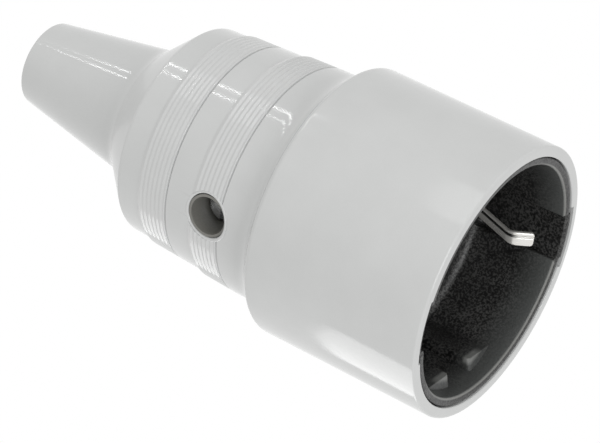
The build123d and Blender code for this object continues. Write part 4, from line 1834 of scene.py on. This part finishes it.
@dataclass
class Studio:
    """Camera, lamps, world and floor.

    Attributes:
        lens: Focal length of the camera.
        sensor: Width of its sensor.
        camera_place: Place of the camera in millimetres.
        camera_right: Direction to the picture's right.
        camera_up: Direction to the picture's top.
        camera_ahead: Direction of view.
        middle: Point that the lamps face, in metres.
        world_colour: Light of the surroundings.
        world_strength: Strength of that light.
        floor_half: Half the floor's side in metres.
        floor_z: Height of the floor, just under the mouth rim, in metres.
        floor_colour: Colour of the floor near the socket.
        lamps: The lamps.
    """

    lens: float = 180.0
    sensor: float = 36.0
    camera_place: Point3 = (251.29, -382.05, -180.36)
    camera_right: Point3 = (0.15367, 0.56773, -0.80874)
    camera_up: Point3 = (0.84935, 0.34237, 0.40172)
    camera_ahead: Point3 = (-0.50496, 0.74864, 0.42959)
    middle: Point3 = (0.0, 0.0, 0.045)
    world_colour: Colour = (1.0, 1.0, 0.985)
    world_strength: float = 0.62
    floor_half: float = 3.0
    floor_z: float = -0.00002
    floor_colour: Colour = (0.86, 0.86, 0.86)
    lamps: tuple[Softbox, ...] = (
        Softbox("key_strip", (0.751, 0.03, 0.66), 0.9, (0.376, 0.016), 0.42, (-0.66, 0.0, 0.751)),
        Softbox("second_strip", (0.71, -0.12, 0.69), 0.9, (0.376, 0.012), 0.3, (-0.69, 0.0, 0.71)),
        Softbox("top_box", (0.96, -0.25, 0.05), 1.1, (0.6, 0.6), 1.7),
        Softbox("mouth_box", (0.25, -0.55, -0.8), 1.0, (0.5, 0.5), 3.4),
        Softbox("low_box", (-0.93, -0.15, 0.1), 1.0, (0.6, 0.6), 2.7),
    )

    def camera(self) -> None:
        """Stand the camera where the picture was taken."""
        data = bpy.data.cameras.new("camera")
        data.lens = self.lens
        data.sensor_width = self.sensor
        data.clip_start = 0.01
        data.clip_end = 50.0
        made = stand("camera", data)
        back = -Vector(self.camera_ahead)
        turn = Matrix((self.camera_right, self.camera_up, back)).transposed()
        made.matrix_world = Matrix.Translation(Vector(self.camera_place) * MM) @ turn.to_4x4()
        bpy.context.scene.camera = made

    def light(self, box: Softbox) -> None:
        """Hang one lamp.

        Args:
            box: The lamp's place, size and power.
        """
        data = bpy.data.lights.new(box.name, "AREA")
        data.shape = "RECTANGLE"
        data.size, data.size_y = box.size
        data.energy = box.power
        made = stand(box.name, data)
        made.visible_camera = False
        back = Vector(box.towards).normalized()
        across = (Vector(box.lean) - back * back.dot(Vector(box.lean))).normalized()
        upright = back.cross(across)
        turn = Matrix((across, upright, back)).transposed()
        made.matrix_world = Matrix.Translation(Vector(self.middle) + back * box.distance) @ turn.to_4x4()

    def world(self) -> None:
        """Pale light all round, with a white background for the camera and for reflections."""
        made = bpy.data.worlds.new("studio")
        made.use_nodes = True
        nodes = made.node_tree.nodes
        links = made.node_tree.links
        nodes.clear()
        path = nodes.new("ShaderNodeLightPath")
        seen = path.outputs["Is Camera Ray"]
        for ray in ("Is Glossy Ray", "Is Transmission Ray"):
            either = nodes.new("ShaderNodeMath")
            either.operation = "MAXIMUM"
            links.new(seen, either.inputs[0])
            links.new(path.outputs[ray], either.inputs[1])
            seen = either.outputs[0]
        light = nodes.new("ShaderNodeBackground")
        light.inputs["Color"].default_value = (*self.world_colour, 1.0)
        light.inputs["Strength"].default_value = self.world_strength
        white = nodes.new("ShaderNodeBackground")
        white.inputs["Color"].default_value = (1.0, 1.0, 1.0, 1.0)
        white.inputs["Strength"].default_value = 1.0
        mix = nodes.new("ShaderNodeMixShader")
        links.new(seen, mix.inputs[0])
        links.new(light.outputs[0], mix.inputs[1])
        links.new(white.outputs[0], mix.inputs[2])
        out = nodes.new("ShaderNodeOutputWorld")
        links.new(mix.outputs[0], out.inputs["Surface"])
        bpy.context.scene.world = made

    def floor_material(self) -> bpy.types.Material:
        """Pale floor that fades to the white background and shows from above only.

        Returns:
            The material.
        """
        board = Board("pale_floor")
        nodes, links = board.nodes, board.links
        grain = board.noise(size=4.0, detail=2.0, roughness=0.5)
        red, green, blue = self.floor_colour
        darker = (red * 0.985, green * 0.985, blue * 0.985)
        board.paint(board.blend(grain, self.floor_colour, darker))
        board.set(Roughness=0.9, Specular_IOR_Level=0.0)
        distance = nodes.new("ShaderNodeVectorMath")
        distance.operation = "LENGTH"
        links.new(board.place, distance.inputs[0])
        fade = board.span(distance.outputs["Value"], 0.16, 0.9, 0.0, 1.0)
        white = nodes.new("ShaderNodeEmission")
        clear = nodes.new("ShaderNodeBsdfTransparent")
        side = nodes.new("ShaderNodeNewGeometry")
        mixed = board.shader.outputs[0]
        for share, other in ((fade, white), (side.outputs["Backfacing"], clear)):
            mix = nodes.new("ShaderNodeMixShader")
            links.new(share, mix.inputs[0])
            links.new(mixed, mix.inputs[1])
            links.new(other.outputs[0], mix.inputs[2])
            mixed = mix.outputs[0]
        links.new(mixed, nodes["Material Output"].inputs["Surface"])
        return board.material

    def floor(self) -> None:
        """Lay the floor just under the mouth rim."""
        half = self.floor_half
        made = bmesh.new()
        plan = ((-half, -half), (half, -half), (half, half), (-half, half))
        made.faces.new([made.verts.new((x, y, self.floor_z)) for x, y in plan])
        data = bpy.data.meshes.new("floor")
        made.to_mesh(data)
        made.free()
        floor = stand("floor", data)
        data.materials.append(self.floor_material())
        floor.visible_diffuse = False
        floor.visible_glossy = False
        floor.visible_transmission = False
        floor.visible_shadow = False

    def build(self) -> None:
        """Set up the whole studio."""
        self.camera()
        for box in self.lamps:
            self.light(box)
        self.world()
        self.floor()
        bpy.context.scene.view_settings.view_transform = "Standard"


@dataclass
class InnerWorks:
    """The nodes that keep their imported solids: carrier, contacts, terminals and clamp.

    Attributes:
        slots: The nodes of each material slot.
    """

    slots: dict[Slot, tuple[str, ...]] = field(
        default_factory=lambda: {
            Slot.INSERT: ("contact_carrier", "cord_clamp_jaw"),
            Slot.NICKEL: ("earth_link",),
            Slot.BRASS: ("earth_terminal", "line_contact_left", "line_contact_right"),
            Slot.STEEL: (
                "earth_rivet",
                "earth_clamp_plate",
                "earth_terminal_screw",
                "contact_spring_left",
                "contact_spring_right",
                "line_clamp_plate_left",
                "line_clamp_plate_right",
                "line_terminal_screw_left",
                "line_terminal_screw_right",
                "carrier_screw_left",
                "carrier_screw_right",
                "cord_clamp_nut",
            ),
        }
    )

    def build(self, finishes: Finishes) -> int:
        """Dress the nodes.

        Args:
            finishes: The finishes of the socket.

        Returns:
            The number of nodes dressed.
        """
        for slot, names in self.slots.items():
            for name in names:
                finishes.redress(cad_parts[name], slot)
        return sum(len(names) for names in self.slots.values())


def main() -> None:
    """Build the socket piece by piece, then the studio."""
    logging.basicConfig(level=logging.INFO, format="%(name)s: %(message)s")
    finishes = Finishes()
    for maker in (Sleeve(), SocketFront(), EarthStrip()):
        piece = maker.build(finishes)
        log.info("%s with %d faces", piece.name, len(piece.data.polygons))
    screw = SlottedScrew().build(finishes, "clamp_screw", "cord_clamp_screw")
    log.info("%s with %d faces", screw.name, len(screw.data.polygons))
    log.info("%d nodes dressed", InnerWorks().build(finishes))
    Studio().build()
    log.info("studio set up")


if __name__ == "__main__":
    main()
